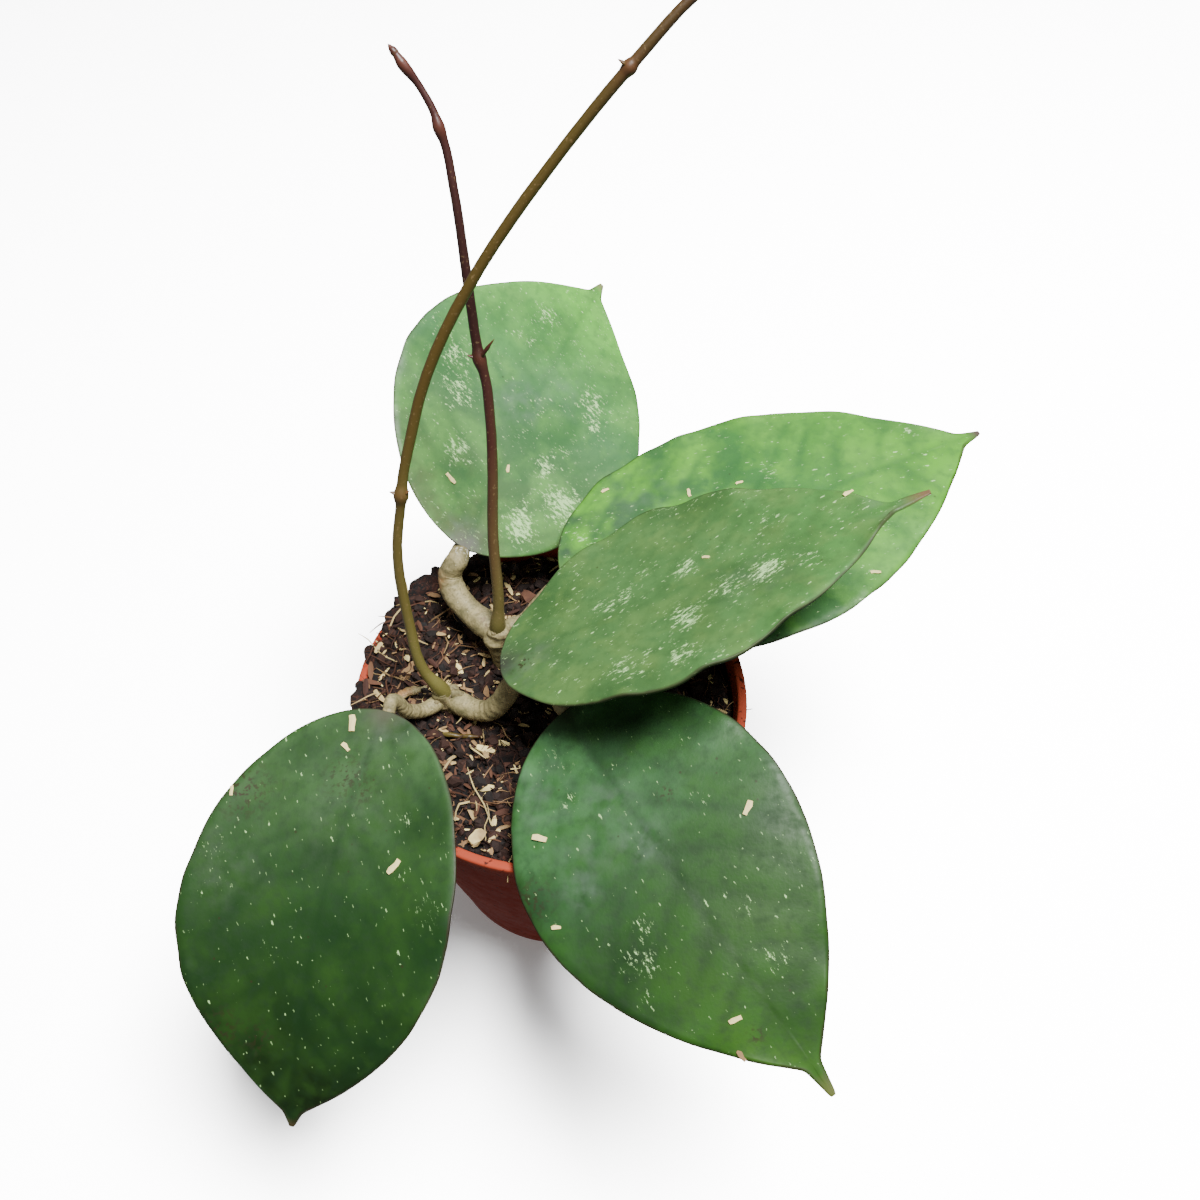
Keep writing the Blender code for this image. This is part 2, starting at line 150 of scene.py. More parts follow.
def blotches(tree: Tree, where: Socket, size: float, low: float, high: float,
             detail: float = 3.0) -> Socket:
    """Make soft irregular blotches.

    Args:
        tree: The material's node tree.
        where: The coordinates that they follow.
        size: Typical distance from one blotch to the next, mm.
        low: Level of the noise at which a blotch starts.
        high: Level at which it is full.
        detail: How ragged their outlines are.

    Returns:
        A socket that is 0 between the blotches and 1 in them.
    """
    cloud = add_node(tree, "TexNoise", {"Vector": where, "Scale": per_metre(size), "Detail": detail})
    return add_node(tree, "MapRange", {"Value": cloud.outputs["Fac"], "From Min": low,
                                       "From Max": high}).outputs["Result"]


def specks(tree: Tree, where: Socket, size: float, radius: float, share: float) -> Socket:
    """Scatter small soft specks.

    Args:
        tree: The material's node tree.
        where: The coordinates that they follow.
        size: Typical distance from one possible speck to the next, mm.
        radius: Radius of a speck, as a share of that distance.
        share: Share of the possible specks that are there.

    Returns:
        A socket that is 0 between the specks and 1 in them.
    """
    cells = add_node(tree, "TexVoronoi", {"Vector": where, "Scale": per_metre(size)})
    dots = add_node(tree, "MapRange", {"Value": cells.outputs["Distance"], "From Min": radius,
                                       "From Max": 0.5 * radius})
    chance = add_node(tree, "SeparateColor", {"Color": cells.outputs["Color"]})
    chosen = add_node(tree, "Math", {0: chance.outputs[0], 1: 1.0 - share}, operation="GREATER_THAN")
    return add_node(tree, "Math", {0: dots.outputs["Result"], 1: chosen.outputs[0]},
                    operation="MULTIPLY").outputs[0]


def layered(tree: Tree, base: Union[str, Socket], *coats: tuple[Any, ...]) -> Socket:
    """Lay thin coats of colour over a base, one after another.

    Args:
        tree: The material's node tree.
        base: Hex colour underneath, or the socket that gives it.
        *coats: For each coat its hex colour, and then the masks and strengths whose product says
            how far it covers.

    Returns:
        The resulting colour.
    """
    colour = linear(base) if isinstance(base, str) else base
    for code, cover, *others in coats:
        for other in others:
            cover = add_node(tree, "Math", {0: cover, 1: other}, operation="MULTIPLY",
                             use_clamp=True).outputs[0]
        colour = add_node(tree, "Mix", {MIX_FACTOR: cover, MIX_A: colour, MIX_B: linear(code)},
                          data_type="RGBA").outputs[MIX_RESULT]
    return colour


# ------------------------------------------------------------------ finishes

@dataclass(frozen=True)
class Finish:
    """A surface finish, named for the real material."""

    name: str

    def make(self) -> Material:
        """Make the material.

        Returns:
            A new material with this finish.
        """
        material = bpy.data.materials.new(self.name)
        material.use_nodes = True
        tree = material.node_tree
        shader = tree.nodes["Principled BSDF"]
        shader.inputs["Metallic"].default_value = 0.0
        self.dress(tree, shader)
        return material

    def dress(self, tree: Tree, shader: bpy.types.Node) -> None:
        """Set the shader's values and patterns.

        Args:
            tree: The material's node tree.
            shader: Its Principled BSDF.
        """
        raise NotImplementedError

    @staticmethod
    def object_place(tree: Tree) -> Socket:
        """Return the socket that gives the place on the object, in metres."""
        return add_node(tree, "TexCoord").outputs["Object"]

    @staticmethod
    def roughen(tree: Tree, shader: bpy.types.Node, height: Socket, depth: float) -> None:
        """Raise a pattern on the surface.

        Args:
            tree: The material's node tree.
            shader: The shader that takes the normals.
            height: The pattern, 0 to 1.
            depth: Height of the pattern, mm.
        """
        bump = add_node(tree, "Bump", {"Height": height, "Distance": mm(depth), "Strength": 1.0})
        tree.links.new(bump.outputs["Normal"], shader.inputs["Normal"])


@dataclass(frozen=True)
class LeafSkin(Finish):
    """The waxy upper side of a hoya leaf: smooth green cuticle, paler between its sunken veins, with
    silvery flecks, a painted grey sheen in places and a thin dark margin. Its green from foot to tip
    holds painted light and shade as well as the leaf's own tone."""

    # Colours at the foot, the middle and the end of the blade: the leaf's own green with painted light and
    # shade, lighter or darker along the blade as the light fell on it.
    foot_hex: str
    middle_hex: str
    end_hex: str
    patch_hex: str              # between the veins
    vein_hex: str
    # painted grey sheen
    painted_sheen_hex: str
    point_hex: str              # the drawn-out tip
    base_hex: str               # the stain round the stalk
    patch: float = 0.5          # how strongly the patches show
    fleck_hex: str = "b2dc94"
    margin_hex: str = "2c2218"
    scurf_hex: str = "2e2415"
    speckle: float = 0.5        # how many of the small flecks there are
    roughness: float = 0.48
    vein: float = 0.5
    cloud: float = 0.7          # how strongly the dark clouds and the mottle show
    streak: float = 0.0         # direction in which the flecks are drawn out, degrees from +X

    def dress(self, tree: Tree, shader: bpy.types.Node) -> None:
        """Set the shader's values and patterns.

        Args:
            tree: The material's node tree.
            shader: Its Principled BSDF.
        """
        place = self.object_place(tree)
        marks = add_node(tree, "Attribute", attribute_name="marks")
        outline = add_node(tree, "Attribute", attribute_name="outline")
        vein, splash, scurf = add_node(tree, "SeparateColor",
                                       {"Color": marks.outputs["Color"]}).outputs[:3]
        margin, point, base = add_node(tree, "SeparateColor",
                                       {"Color": outline.outputs["Color"]}).outputs[:3]
        # Painted light and shade as well as the leaf's own tone: the foot, middle and end colours run along
        # the blade.
        along = add_node(tree, "ValToRGB", {"Fac": outline.outputs["Alpha"]},
                         stops=((0.05, self.foot_hex), (0.5, self.middle_hex), (0.95, self.end_hex)))
        between = add_node(tree, "Math", {0: 1.0, 1: vein}, operation="SUBTRACT").outputs[0]
        mottle = blotches(tree, place, 2.6, 0.46, 0.72, 5.0)
        flecks = self.flecks(tree, place, splash)
        colour = layered(
            tree, along.outputs["Color"],
            # Quilted patches in the fields between the veins, then clouds and a fine dark mottle.
            (self.patch_hex, blotches(tree, place, 15.0, 0.44, 0.60), between, self.patch),
            (self.vein_hex, blotches(tree, place, 23.0, 0.46, 0.66, 6.0), self.cloud),
            (self.patch_hex, blotches(tree, place, 6.0, 0.52, 0.68, 5.0), 0.5 * self.cloud),
            (self.vein_hex, vein, self.vein),
            (self.vein_hex, mottle, 0.6 * self.cloud),
            # Painted grey sheen, where the marks' fourth value gives it.
            (self.painted_sheen_hex, blotches(tree, place, 5.0, 0.38, 0.78, 5.0), marks.outputs["Alpha"]),
            (self.base_hex, base, 0.85),
            (self.scurf_hex, blotches(tree, place, 1.3, 0.52, 0.60, 5.0), scurf),
            (self.scurf_hex, specks(tree, place, 5.2, 0.09, 0.30), 0.55),
            (self.fleck_hex, flecks),
            (self.point_hex, point),
            (self.margin_hex, margin))
        tree.links.new(colour, shader.inputs["Base Color"])
        shader.inputs["Specular IOR Level"].default_value = 0.26
        rough = add_node(tree, "MapRange", {"Value": mottle, "To Min": self.roughness - 0.04,
                                            "To Max": self.roughness + 0.12})
        tree.links.new(rough.outputs["Result"], shader.inputs["Roughness"])
        grain = add_node(tree, "TexNoise", {"Vector": place, "Scale": per_metre(0.9), "Detail": 3.0})
        relief = add_node(tree, "Math", {0: grain.outputs["Fac"], 1: flecks}, operation="ADD")
        self.roughen(tree, shader, relief.outputs[0], 0.035)

    def flecks(self, tree: Tree, place: Socket, splash: Socket) -> Socket:
        """Make the silvery flecks: ragged crumbs gathered in the splashes, and pin-points everywhere.

        Args:
            tree: The material's node tree.
            place: Place on the object.
            splash: Where the flecks gather.

        Returns:
            A mask of the flecks.
        """
        drawn = add_node(tree, "Mapping", {
            "Vector": place, "Rotation": (0.0, 0.0, math.radians(self.streak)), "Scale": (2.4, 0.75, 1.0),
        }, vector_type="TEXTURE").outputs["Vector"]
        ragged = add_node(tree, "TexNoise", {"Vector": place, "Scale": per_metre(0.8), "Detail": 3.0})
        torn = add_node(tree, "VectorMath", {0: ragged.outputs["Color"], 1: (mm(1.1),) * 3, 2: drawn},
                        operation="MULTIPLY_ADD").outputs["Vector"]
        crumbs = add_node(tree, "TexNoise", {"Vector": drawn, "Scale": per_metre(1.25), "Detail": 5.0,
                                             "Roughness": 0.74})
        drift = add_node(tree, "TexNoise", {"Vector": place, "Scale": per_metre(11.0), "Detail": 2.0})
        gathered = add_node(tree, "Math", {0: drift.outputs["Fac"], 1: 0.30 * self.speckle, 2: -0.12},
                            operation="MULTIPLY_ADD")
        gathered = add_node(tree, "Math", {0: splash, 1: 0.165, 2: gathered.outputs[0]},
                            operation="MULTIPLY_ADD")
        level = add_node(tree, "Math", {0: crumbs.outputs["Fac"], 1: gathered.outputs[0]}, operation="ADD")
        mask = add_node(tree, "MapRange", {"Value": level.outputs[0], "From Min": 0.66,
                                           "From Max": 0.74}).outputs["Result"]
        for size, radius, share, strength in ((4.6, 0.09, 0.45, 0.9), (2.6, 0.11, 0.40, 0.7),
                                              (1.3, 0.18, 0.26, 0.45)):
            faint = add_node(tree, "Math", {0: specks(tree, torn, size, radius, share * self.speckle * 2),
                                            1: strength}, operation="MULTIPLY")
            mask = add_node(tree, "Math", {0: mask, 1: faint.outputs[0]}, operation="MAXIMUM").outputs[0]
        return add_node(tree, "Math", {0: mask, 1: 0.88}, operation="MULTIPLY").outputs[0]


@dataclass(frozen=True)
class LeafUnderside(Finish):
    """The dull paler underside of the leaf, with a faint net of veins and no gloss to speak of."""

    field_hex: str = "8fa878"
    vein_hex: str = "b3c09a"
    margin_hex: str = "333a28"

    def dress(self, tree: Tree, shader: bpy.types.Node) -> None:
        """Set the shader's values and patterns.

        Args:
            tree: The material's node tree.
            shader: Its Principled BSDF.
        """
        place = self.object_place(tree)
        marks = add_node(tree, "Attribute", attribute_name="marks")
        outline = add_node(tree, "Attribute", attribute_name="outline")
        vein = add_node(tree, "SeparateColor", {"Color": marks.outputs["Color"]}).outputs[0]
        margin = add_node(tree, "SeparateColor", {"Color": outline.outputs["Color"]}).outputs[0]
        colour = layered(tree, self.field_hex,
                         ("7c9868", blotches(tree, place, 12.0, 0.35, 0.7)),
                         ("6f4a48", blotches(tree, place, 2.2, 0.62, 0.72), 0.35),
                         (self.vein_hex, vein, 0.7),
                         (self.margin_hex, margin))
        tree.links.new(colour, shader.inputs["Base Color"])
        shader.inputs["Roughness"].default_value = 0.6
        grain = add_node(tree, "TexNoise", {"Vector": place, "Scale": per_metre(0.8), "Detail": 3.0})
        self.roughen(tree, shader, grain.outputs["Fac"], 0.05)


@dataclass(frozen=True)
class StalkSkin(Finish):
    """The corky skin of an old hoya stalk: cream with blotches of painted green-grey shade, finely
    wrinkled across, with brown scars and dried white sap."""

    light_hex: str = "9c9066"
    # the stalk's colour in shade, laid over the cream in blotches as painted shade
    painted_shade_hex: str = "6b6644"
    scar_hex: str = "4a2c1c"
    warm_hex: str = "9a6432"

    def dress(self, tree: Tree, shader: bpy.types.Node) -> None:
        """Set the shader's values and patterns.

        Args:
            tree: The material's node tree.
            shader: Its Principled BSDF.
        """
        place = self.object_place(tree)
        run = add_node(tree, "Attribute", attribute_name="run")
        parts = add_node(tree, "SeparateColor", {"Color": run.outputs["Color"]})
        fraction, scar, warm = parts.outputs[:3]
        colour = layered(tree, self.light_hex,
                         # Painted shade: blotches of the stalk's shaded colour over its cream.
                         (self.painted_shade_hex, blotches(tree, place, 3.4, 0.42, 0.72, 5.0)),
                         ("5d5838", blotches(tree, place, 0.7, 0.48, 0.66), 0.6),
                         ("c9c2a0", specks(tree, place, 1.6, 0.16, 0.35), 0.6),
                         (self.warm_hex, warm, blotches(tree, place, 2.0, 0.3, 0.7)),
                         (self.scar_hex, scar, blotches(tree, place, 1.1, 0.46, 0.58)),
                         ("e4e2d8", run.outputs["Alpha"], blotches(tree, place, 0.9, 0.54, 0.60, 5.0)))
        tree.links.new(colour, shader.inputs["Base Color"])
        shader.inputs["Roughness"].default_value = 0.62
        rings = add_node(tree, "Math", {0: fraction, 1: 95.0}, operation="MULTIPLY")
        wobble = add_node(tree, "TexNoise", {"Vector": place, "Scale": per_metre(2.4), "Detail": 3.0})
        rings = add_node(tree, "Math", {0: wobble.outputs["Fac"], 1: 9.0, 2: rings.outputs[0]},
                         operation="MULTIPLY_ADD")
        wrinkle = add_node(tree, "Math", {0: rings.outputs[0]}, operation="SINE")
        self.roughen(tree, shader, wrinkle.outputs[0], 0.05)


@dataclass(frozen=True)
class ShootBark(Finish):
    """The thin smooth bark of a young shoot: one colour runs into the next along it, with fine pores."""

    stops: tuple[tuple[float, str], ...]
    pore_hex: str = "806a48"

    def dress(self, tree: Tree, shader: bpy.types.Node) -> None:
        """Set the shader's values and patterns.

        Args:
            tree: The material's node tree.
            shader: Its Principled BSDF.
        """
        place = self.object_place(tree)
        run = add_node(tree, "Attribute", attribute_name="run")
        parts = add_node(tree, "SeparateColor", {"Color": run.outputs["Color"]})
        fraction, scar = parts.outputs[0], parts.outputs[1]
        drift = add_node(tree, "TexNoise", {"Vector": place, "Scale": per_metre(9.0), "Detail": 3.0})
        moved = add_node(tree, "Math", {0: drift.outputs["Fac"], 1: 0.10, 2: fraction},
                         operation="MULTIPLY_ADD")
        colour = add_node(tree, "ValToRGB", {"Fac": moved.outputs[0]}, stops=self.stops).outputs["Color"]
        colour = layered(tree, colour,
                         (self.pore_hex, blotches(tree, place, 0.9, 0.62, 0.70), 0.45),
                         ("6a3a28", scar, 0.8))
        tree.links.new(colour, shader.inputs["Base Color"])
        shader.inputs["Roughness"].default_value = 0.42
        grain = add_node(tree, "TexNoise", {"Vector": place, "Scale": per_metre(0.7), "Detail": 3.0})
        self.roughen(tree, shader, grain.outputs["Fac"], 0.06)


@dataclass(frozen=True)
class PotPlastic(Finish):
    """Injection-moulded polypropylene in brick red: satin, faintly scuffed, with dust and crumbs of
    compost dried on below the rim, and a painted highlight along the top of the rim."""

    base_hex: str = "8c2a14"
    worn_hex: str = "a03a22"
    # painted highlight on the top of the rim
    rim_painted_light_hex: str = "a2442e"
    dirt_hex: str = "1c0e0a"

    def dress(self, tree: Tree, shader: bpy.types.Node) -> None:
        """Set the shader's values and patterns.

        Args:
            tree: The material's node tree.
            shader: Its Principled BSDF.
        """
        place = self.object_place(tree)
        height = add_node(tree, "SeparateXYZ", {"Vector": place}).outputs["Z"]
        near_rim = add_node(tree, "MapRange", {"Value": height, "From Min": mm(POT_HEIGHT - 18),
                                               "From Max": mm(POT_HEIGHT - 1)})
        on_rim = add_node(tree, "MapRange", {"Value": height, "From Min": mm(POT_HEIGHT - 5),
                                             "From Max": mm(POT_HEIGHT - 1)})
        colour = layered(tree, self.base_hex,
                         (self.worn_hex, blotches(tree, place, 8.0, 0.48, 0.72), 0.5),
                         # Painted highlight: the top of the rim is lighter, where the light falls on it.
                         (self.rim_painted_light_hex, on_rim.outputs["Result"]),
                         (self.dirt_hex, blotches(tree, place, 2.2, 0.60, 0.66), near_rim.outputs["Result"],
                          0.85),
                         (self.dirt_hex, specks(tree, place, 3.4, 0.15, 0.8), 0.75))
        tree.links.new(colour, shader.inputs["Base Color"])
        rough = add_node(tree, "MapRange", {"Value": blotches(tree, place, 5.0, 0.4, 0.7),
                                            "To Min": 0.58, "To Max": 0.72})
        tree.links.new(rough.outputs["Result"], shader.inputs["Roughness"])
        shader.inputs["Specular IOR Level"].default_value = 0.12
        grain = add_node(tree, "TexNoise", {"Vector": place, "Scale": per_metre(0.9), "Detail": 2.0})
        self.roughen(tree, shader, grain.outputs["Fac"], 0.03)


@dataclass(frozen=True)
class Coir(Finish):
    """Damp compost of coconut fibre and peat: red-brown on its lumps, with painted shade that leaves its
    hollows nearly black.
    """

    # dark compost colour, which stays nearly black in the hollows as painted shade
    dark_and_hollow_shade_hex: str = "060302"
    lump_hex: str = "38180c"

    def dress(self, tree: Tree, shader: bpy.types.Node) -> None:
        """Set the shader's values and patterns.

        Args:
            tree: The material's node tree.
            shader: Its Principled BSDF.
        """
        place = self.object_place(tree)
        lump = add_node(tree, "Attribute", attribute_name="lump").outputs["Fac"]
        # Painted shade: the lump mask, from each place's height over the level bed, lets the red-brown show
        # on the raised lumps and leaves the hollows nearly black.
        colour = layered(tree, self.dark_and_hollow_shade_hex,
                         (self.lump_hex, blotches(tree, place, 2.4, 0.42, 0.60, 5.0), lump),
                         ("5a3222", blotches(tree, place, 0.9, 0.54, 0.66), lump, 0.8),
                         ("b5996c", specks(tree, place, 1.7, 0.15, 0.14)))
        tree.links.new(colour, shader.inputs["Base Color"])
        shader.inputs["Roughness"].default_value = 0.93
        grain = add_node(tree, "TexNoise", {"Vector": place, "Scale": per_metre(1.4), "Detail": 6.0,
                                            "Roughness": 0.7})
        self.roughen(tree, shader, grain.outputs["Fac"], 0.9)


@dataclass(frozen=True)
class LooseBits(Finish):
    """Loose bits on the compost, from peat crumbs through bark to clean wood; each keeps one shade."""

    stops: tuple[tuple[float, str], ...]
    grain_size: float = 0.8
    roughness: float = 0.85

    def dress(self, tree: Tree, shader: bpy.types.Node) -> None:
        """Set the shader's values and patterns.

        Args:
            tree: The material's node tree.
            shader: Its Principled BSDF.
        """
        place = self.object_place(tree)
        shade = add_node(tree, "Attribute", attribute_name="shade")
        colour = add_node(tree, "ValToRGB", {"Fac": shade.outputs["Fac"]}, stops=self.stops)
        colour = layered(tree, colour.outputs["Color"],
                         ("4a2f20", blotches(tree, place, self.grain_size, 0.56, 0.76, 4.0), 0.22))
        tree.links.new(colour, shader.inputs["Base Color"])
        shader.inputs["Roughness"].default_value = self.roughness
        grain = add_node(tree, "TexNoise", {"Vector": place, "Scale": per_metre(0.7), "Detail": 4.0})
        self.roughen(tree, shader, grain.outputs["Fac"], 0.15)


@dataclass(frozen=True)
class PaperSweep(Finish):
    """Matt white studio paper."""

    base_hex: str = "f7f7f7"
    glow: float = 0.12          # keeps the paper pale under the soft light

    def dress(self, tree: Tree, shader: bpy.types.Node) -> None:
        """Set the shader's values.

        Args:
            tree: The material's node tree.
            shader: Its Principled BSDF.
        """
        shader.inputs["Base Color"].default_value = linear(self.base_hex)
        shader.inputs["Roughness"].default_value = 0.9
        shader.inputs["Specular IOR Level"].default_value = 0.1
        shader.inputs["Emission Color"].default_value = (1.0, 1.0, 1.0, 1.0)
        shader.inputs["Emission Strength"].default_value = self.glow


# ------------------------------------------------------------------ making pieces

def add_piece(name: str, bm: bmesh.types.BMesh, materials: Sequence[Material],
              replaces: Iterable[str] = (), sharp: float | None = None
              ) -> bpy.types.Object:
    """Make a finished piece of the plant, which rides on its only body.

    Args:
        name: Name of the piece.
        bm: Its shape, in metres in the frame; it is freed.
        materials: Materials by face index.
        replaces: CAD nodes that the piece stands for.
        sharp: Angle in degrees past which an edge stays sharp, or none for smooth all over.

    Returns:
        The new object.
    """
    mesh = bpy.data.meshes.new(name)
    bmesh.ops.recalc_face_normals(bm, faces=bm.faces)
    bm.to_mesh(mesh)
    bm.free()
    for material in materials:
        mesh.materials.append(material)
    mesh.shade_smooth()
    if sharp is not None:
        mesh.set_sharp_from_angle(angle=math.radians(sharp))
    piece = bpy.data.objects.new(name, mesh)
    bpy.context.scene.collection.objects.link(piece)
    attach(piece, "root")
    nodes = list(replaces)
    if nodes:
        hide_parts(*nodes)
    LOG.info("%s: %d faces", name, len(mesh.polygons))
    return piece


def smooth_route(points: Sequence[Knot], per_span: int) -> list[Vector]:
    """Thread a smooth curve through knots, whose slopes allow for uneven spacing.

    Args:
        points: Knots of x, y, z and radius.
        per_span: Steps between one knot and the next.

    Returns:
        Four-part vectors of x, y, z and radius.
    """
    knots = [Vector(point) for point in points]
    spans = [max((after - before).to_3d().length, 1e-4) for before, after in zip(knots, knots[1:])]
    slopes = [(after - before) / span for before, after, span in zip(knots, knots[1:], spans)]
    tangents = [slopes[0]]
    for index in range(1, len(slopes)):
        weight = spans[index - 1] / (spans[index - 1] + spans[index])
        tangents.append(slopes[index] * weight + slopes[index - 1] * (1 - weight))
    tangents.append(slopes[-1])
    tangents = [Vector((*tangent.to_3d(), 0.0)) for tangent in tangents]     # no neck beside a joint
    route = []
    for index, span in enumerate(spans):
        for step in range(per_span):
            t = step / per_span
            route.append(knots[index] * (1 + 2 * t) * (1 - t) ** 2 + tangents[index] * span * t * (1 - t) ** 2
                         + knots[index + 1] * t * t * (3 - 2 * t)
                         - tangents[index + 1] * span * t * t * (1 - t))
    route.append(knots[-1])
    return route


@dataclass
class Tube:
    """A round or flattened length of stalk, shoot, root or fibre, swept along a smooth route."""

    points: Sequence[Knot]
    sides: int = 16
    per_span: int = 5
    flat: float = 1.0           # thickness as a share of the width
    lump: float = 0.0           # depth of the unevenness, mm
    lump_size: float = 2.0      # distance from one lump to the next, mm
    ring: float = 0.0           # depth of the wrinkles across, mm
    ring_pitch: float = 1.2     # distance from one wrinkle to the next, mm
    scars: Sequence[tuple[float, float, float, float]] = ()     # x, y, z and radius of brown scars, mm
    sap: Sequence[tuple[float, float, float, float]] = ()       # the same for dried white sap
    warm: Sequence[tuple[float, float, float, float]] = ()      # the same for the orange tint

    @staticmethod
    def near(spots: Sequence[tuple[float, float, float, float]], place: Vector) -> float:
        """Return how much a place in mm lies in one of the spots, 0 to 1."""
        nearest = [math.exp(-((place - Vector(spot[:3])).length / spot[3]) ** 2) for spot in spots]
        return max(nearest, default=0.0)

    def sweep(self, bm: bmesh.types.BMesh) -> None:
        """Build the tube from a ring that is extruded from place to place, and close both ends.

        Args:
            bm: The bmesh it is added to, with a "run" layer on its vertices.
        """
        run = bm.verts.layers.float_color["run"]
        route = smooth_route(self.points, self.per_span)
        places = [point.to_3d() for point in route]
        total = sum((after - before).length for before, after in zip(places, places[1:]))
        aim = (places[1] - places[0]).normalized()
        turn = aim.to_track_quat("Z", "Y").to_matrix()
        ring = bmesh.ops.create_circle(bm, segments=self.sides, radius=1.0)["verts"]
        edges = list({edge for vert in ring for edge in vert.link_edges})
        shapes = [vert.co.copy() for vert in ring]
        done = 0.0
        first = list(edges)
        for index, point in enumerate(route):
            if index:
                done += (places[index] - places[index - 1]).length
                ahead = places[min(index + 1, len(places) - 1)] - places[index - 1]
                if ahead.length > 1e-6:
                    ahead.normalize()
                    turn = aim.rotation_difference(ahead).to_matrix() @ turn
                    aim = ahead
                made = bmesh.ops.extrude_edge_only(bm, edges=edges)["geom"]
                ring = [item for item in made if isinstance(item, bmesh.types.BMVert)]
                edges = [item for item in made if isinstance(item, bmesh.types.BMEdge)
                         and all(vert in ring for vert in item.verts)]
            for vert, shape in zip(ring, shapes):
                outward = turn @ Vector((shape.x, shape.y * self.flat, 0.0))
                radius = point[3]
                place = places[index] + outward * radius
                uneven = self.lump * noise.noise(place / self.lump_size)
                uneven += self.ring * math.sin(math.tau * done / self.ring_pitch
                                               + 2.5 * noise.noise(place / 3.0))
                place += outward.normalized() * uneven * min(1.0, radius)
                vert.co = mm(place)
                vert[run] = (done / total, self.near(self.scars, place), self.near(self.warm, place),
                             self.near(self.sap, place))
        bmesh.ops.contextual_create(bm, geom=first)
        bmesh.ops.contextual_create(bm, geom=edges)


def new_tubes(*tubes: Tube) -> bmesh.types.BMesh:
    """Make one bmesh that holds some tubes.

    Args:
        *tubes: The tubes in it.

    Returns:
        The new bmesh.
    """
    bm = bmesh.new()
    bm.verts.layers.float_color.new("run")
    for tube in tubes:
        tube.sweep(bm)
    return bm


# ------------------------------------------------------------------ the pot and its compost

@dataclass
class NurseryPot:
    """A round tapered nursery pot with a thicker band under its rolled rim and eight drain holes."""

    finish: PotPlastic = PotPlastic("moulded_polypropylene_brick_red")
    lip_width: float = 2.8
    lip_depth: float = 5.0
    drain_radius: float = 4.0
    drain_ring: float = 27.0
    drain_holes: int = 8
    drain_turn: float = 0.06    # turn of the ring of holes, as a fraction of their spacing
    steps: int = 144

    @staticmethod
    def wall_radius(height: float) -> float:
        """Return the outer radius of the wall at a height, both in mm."""
        return POT_BASE_RADIUS + (POT_TOP_RADIUS - POT_BASE_RADIUS) * height / POT_HEIGHT

    def profile(self) -> list[tuple[float, float]]:
        """Return the wall's section as (radius, height) pairs in mm, from outside to inside."""
        band = POT_HEIGHT - self.lip_depth
        roll, inner_roll = 0.75, 0.6            # radii of the rim's rounded edges
        outside = [(0.0, 0.8), (33.0, 0.8), (34.2, 0.0), (POT_BASE_RADIUS - 1.0, 0.0),
                   (self.wall_radius(0.9), 0.9)]
        outside += [(self.wall_radius(height) - 0.1, height) for height in (2, 20, 22)]
        outside += [(self.wall_radius(height), height) for height in (22.4, 60, 84)]
        outside += [(self.wall_radius(band - 1.4) - 0.5, band - 1.4),
                    (self.wall_radius(band) - 0.55, band - 0.5),
                    (self.wall_radius(band) + 0.15, band), (self.wall_radius(band) + 0.35, band + 0.5)]
        rolled = [(POT_TOP_RADIUS - roll + roll * math.cos(angle), POT_HEIGHT - roll + roll * math.sin(angle))
                  for angle in (0.0, 0.5, 1.0, math.pi / 2)]
        inner = [(POT_TOP_RADIUS - self.lip_width + inner_roll - inner_roll * math.sin(angle),
                  POT_HEIGHT - inner_roll + inner_roll * math.cos(angle))
                 for angle in (0.0, 0.8, math.pi / 2)]
        inside = [(self.wall_radius(band) - self.lip_width, band),
                  (self.wall_radius(band - 2) - POT_WALL, band - 2),
                  (self.wall_radius(POT_FLOOR + 1) - POT_WALL, POT_FLOOR + 1),
                  (self.wall_radius(POT_FLOOR) - POT_WALL - 1, POT_FLOOR), (0.0, POT_FLOOR)]
        return outside + rolled + inner + inside

    def build(self) -> None:
        """Spin the pot's wall and open its drain holes."""
        bm = bmesh.new()
        verts = [bm.verts.new(mm((radius, 0.0, height))) for radius, height in self.profile()]
        edges = [bm.edges.new(pair) for pair in zip(verts, verts[1:])]
        bmesh.ops.spin(bm, geom=verts + edges, cent=(0, 0, 0), axis=(0, 0, 1), dvec=(0, 0, 0), angle=math.tau,
                       steps=self.steps, use_merge=True, use_duplicate=False)
        bmesh.ops.remove_doubles(bm, verts=bm.verts, dist=mm(0.01))
        pot = add_piece("nursery_pot", bm, [self.finish.make()], ["pot"], 50.0)
        drains = bmesh.new()
        for index in range(self.drain_holes):
            angle = math.tau * (index + self.drain_turn) / self.drain_holes
            made = bmesh.ops.create_cone(drains, cap_ends=True, segments=32, radius1=mm(self.drain_radius),
                                         radius2=mm(self.drain_radius), depth=mm(3 * POT_FLOOR))
            centre = (self.drain_ring * math.cos(angle), self.drain_ring * math.sin(angle), POT_FLOOR / 2)
            bmesh.ops.translate(drains, verts=made["verts"], vec=mm(centre))
        mesh = bpy.data.meshes.new("drain_cutter")
        drains.to_mesh(mesh)
        drains.free()
        cutter = bpy.data.objects.new("drain_cutter", mesh)
        bpy.context.scene.collection.objects.link(cutter)
        modifier = pot.modifiers.new("drain_holes", "BOOLEAN")
        modifier.operation, modifier.solver, modifier.object = "DIFFERENCE", "EXACT", cutter
        bpy.context.view_layer.update()
        cut = bpy.data.meshes.new_from_object(pot.evaluated_get(bpy.context.evaluated_depsgraph_get()))
        pot.modifiers.clear()
        cut.name = pot.data.name
        pot.data = cut
        bpy.data.objects.remove(cutter, do_unlink=True)


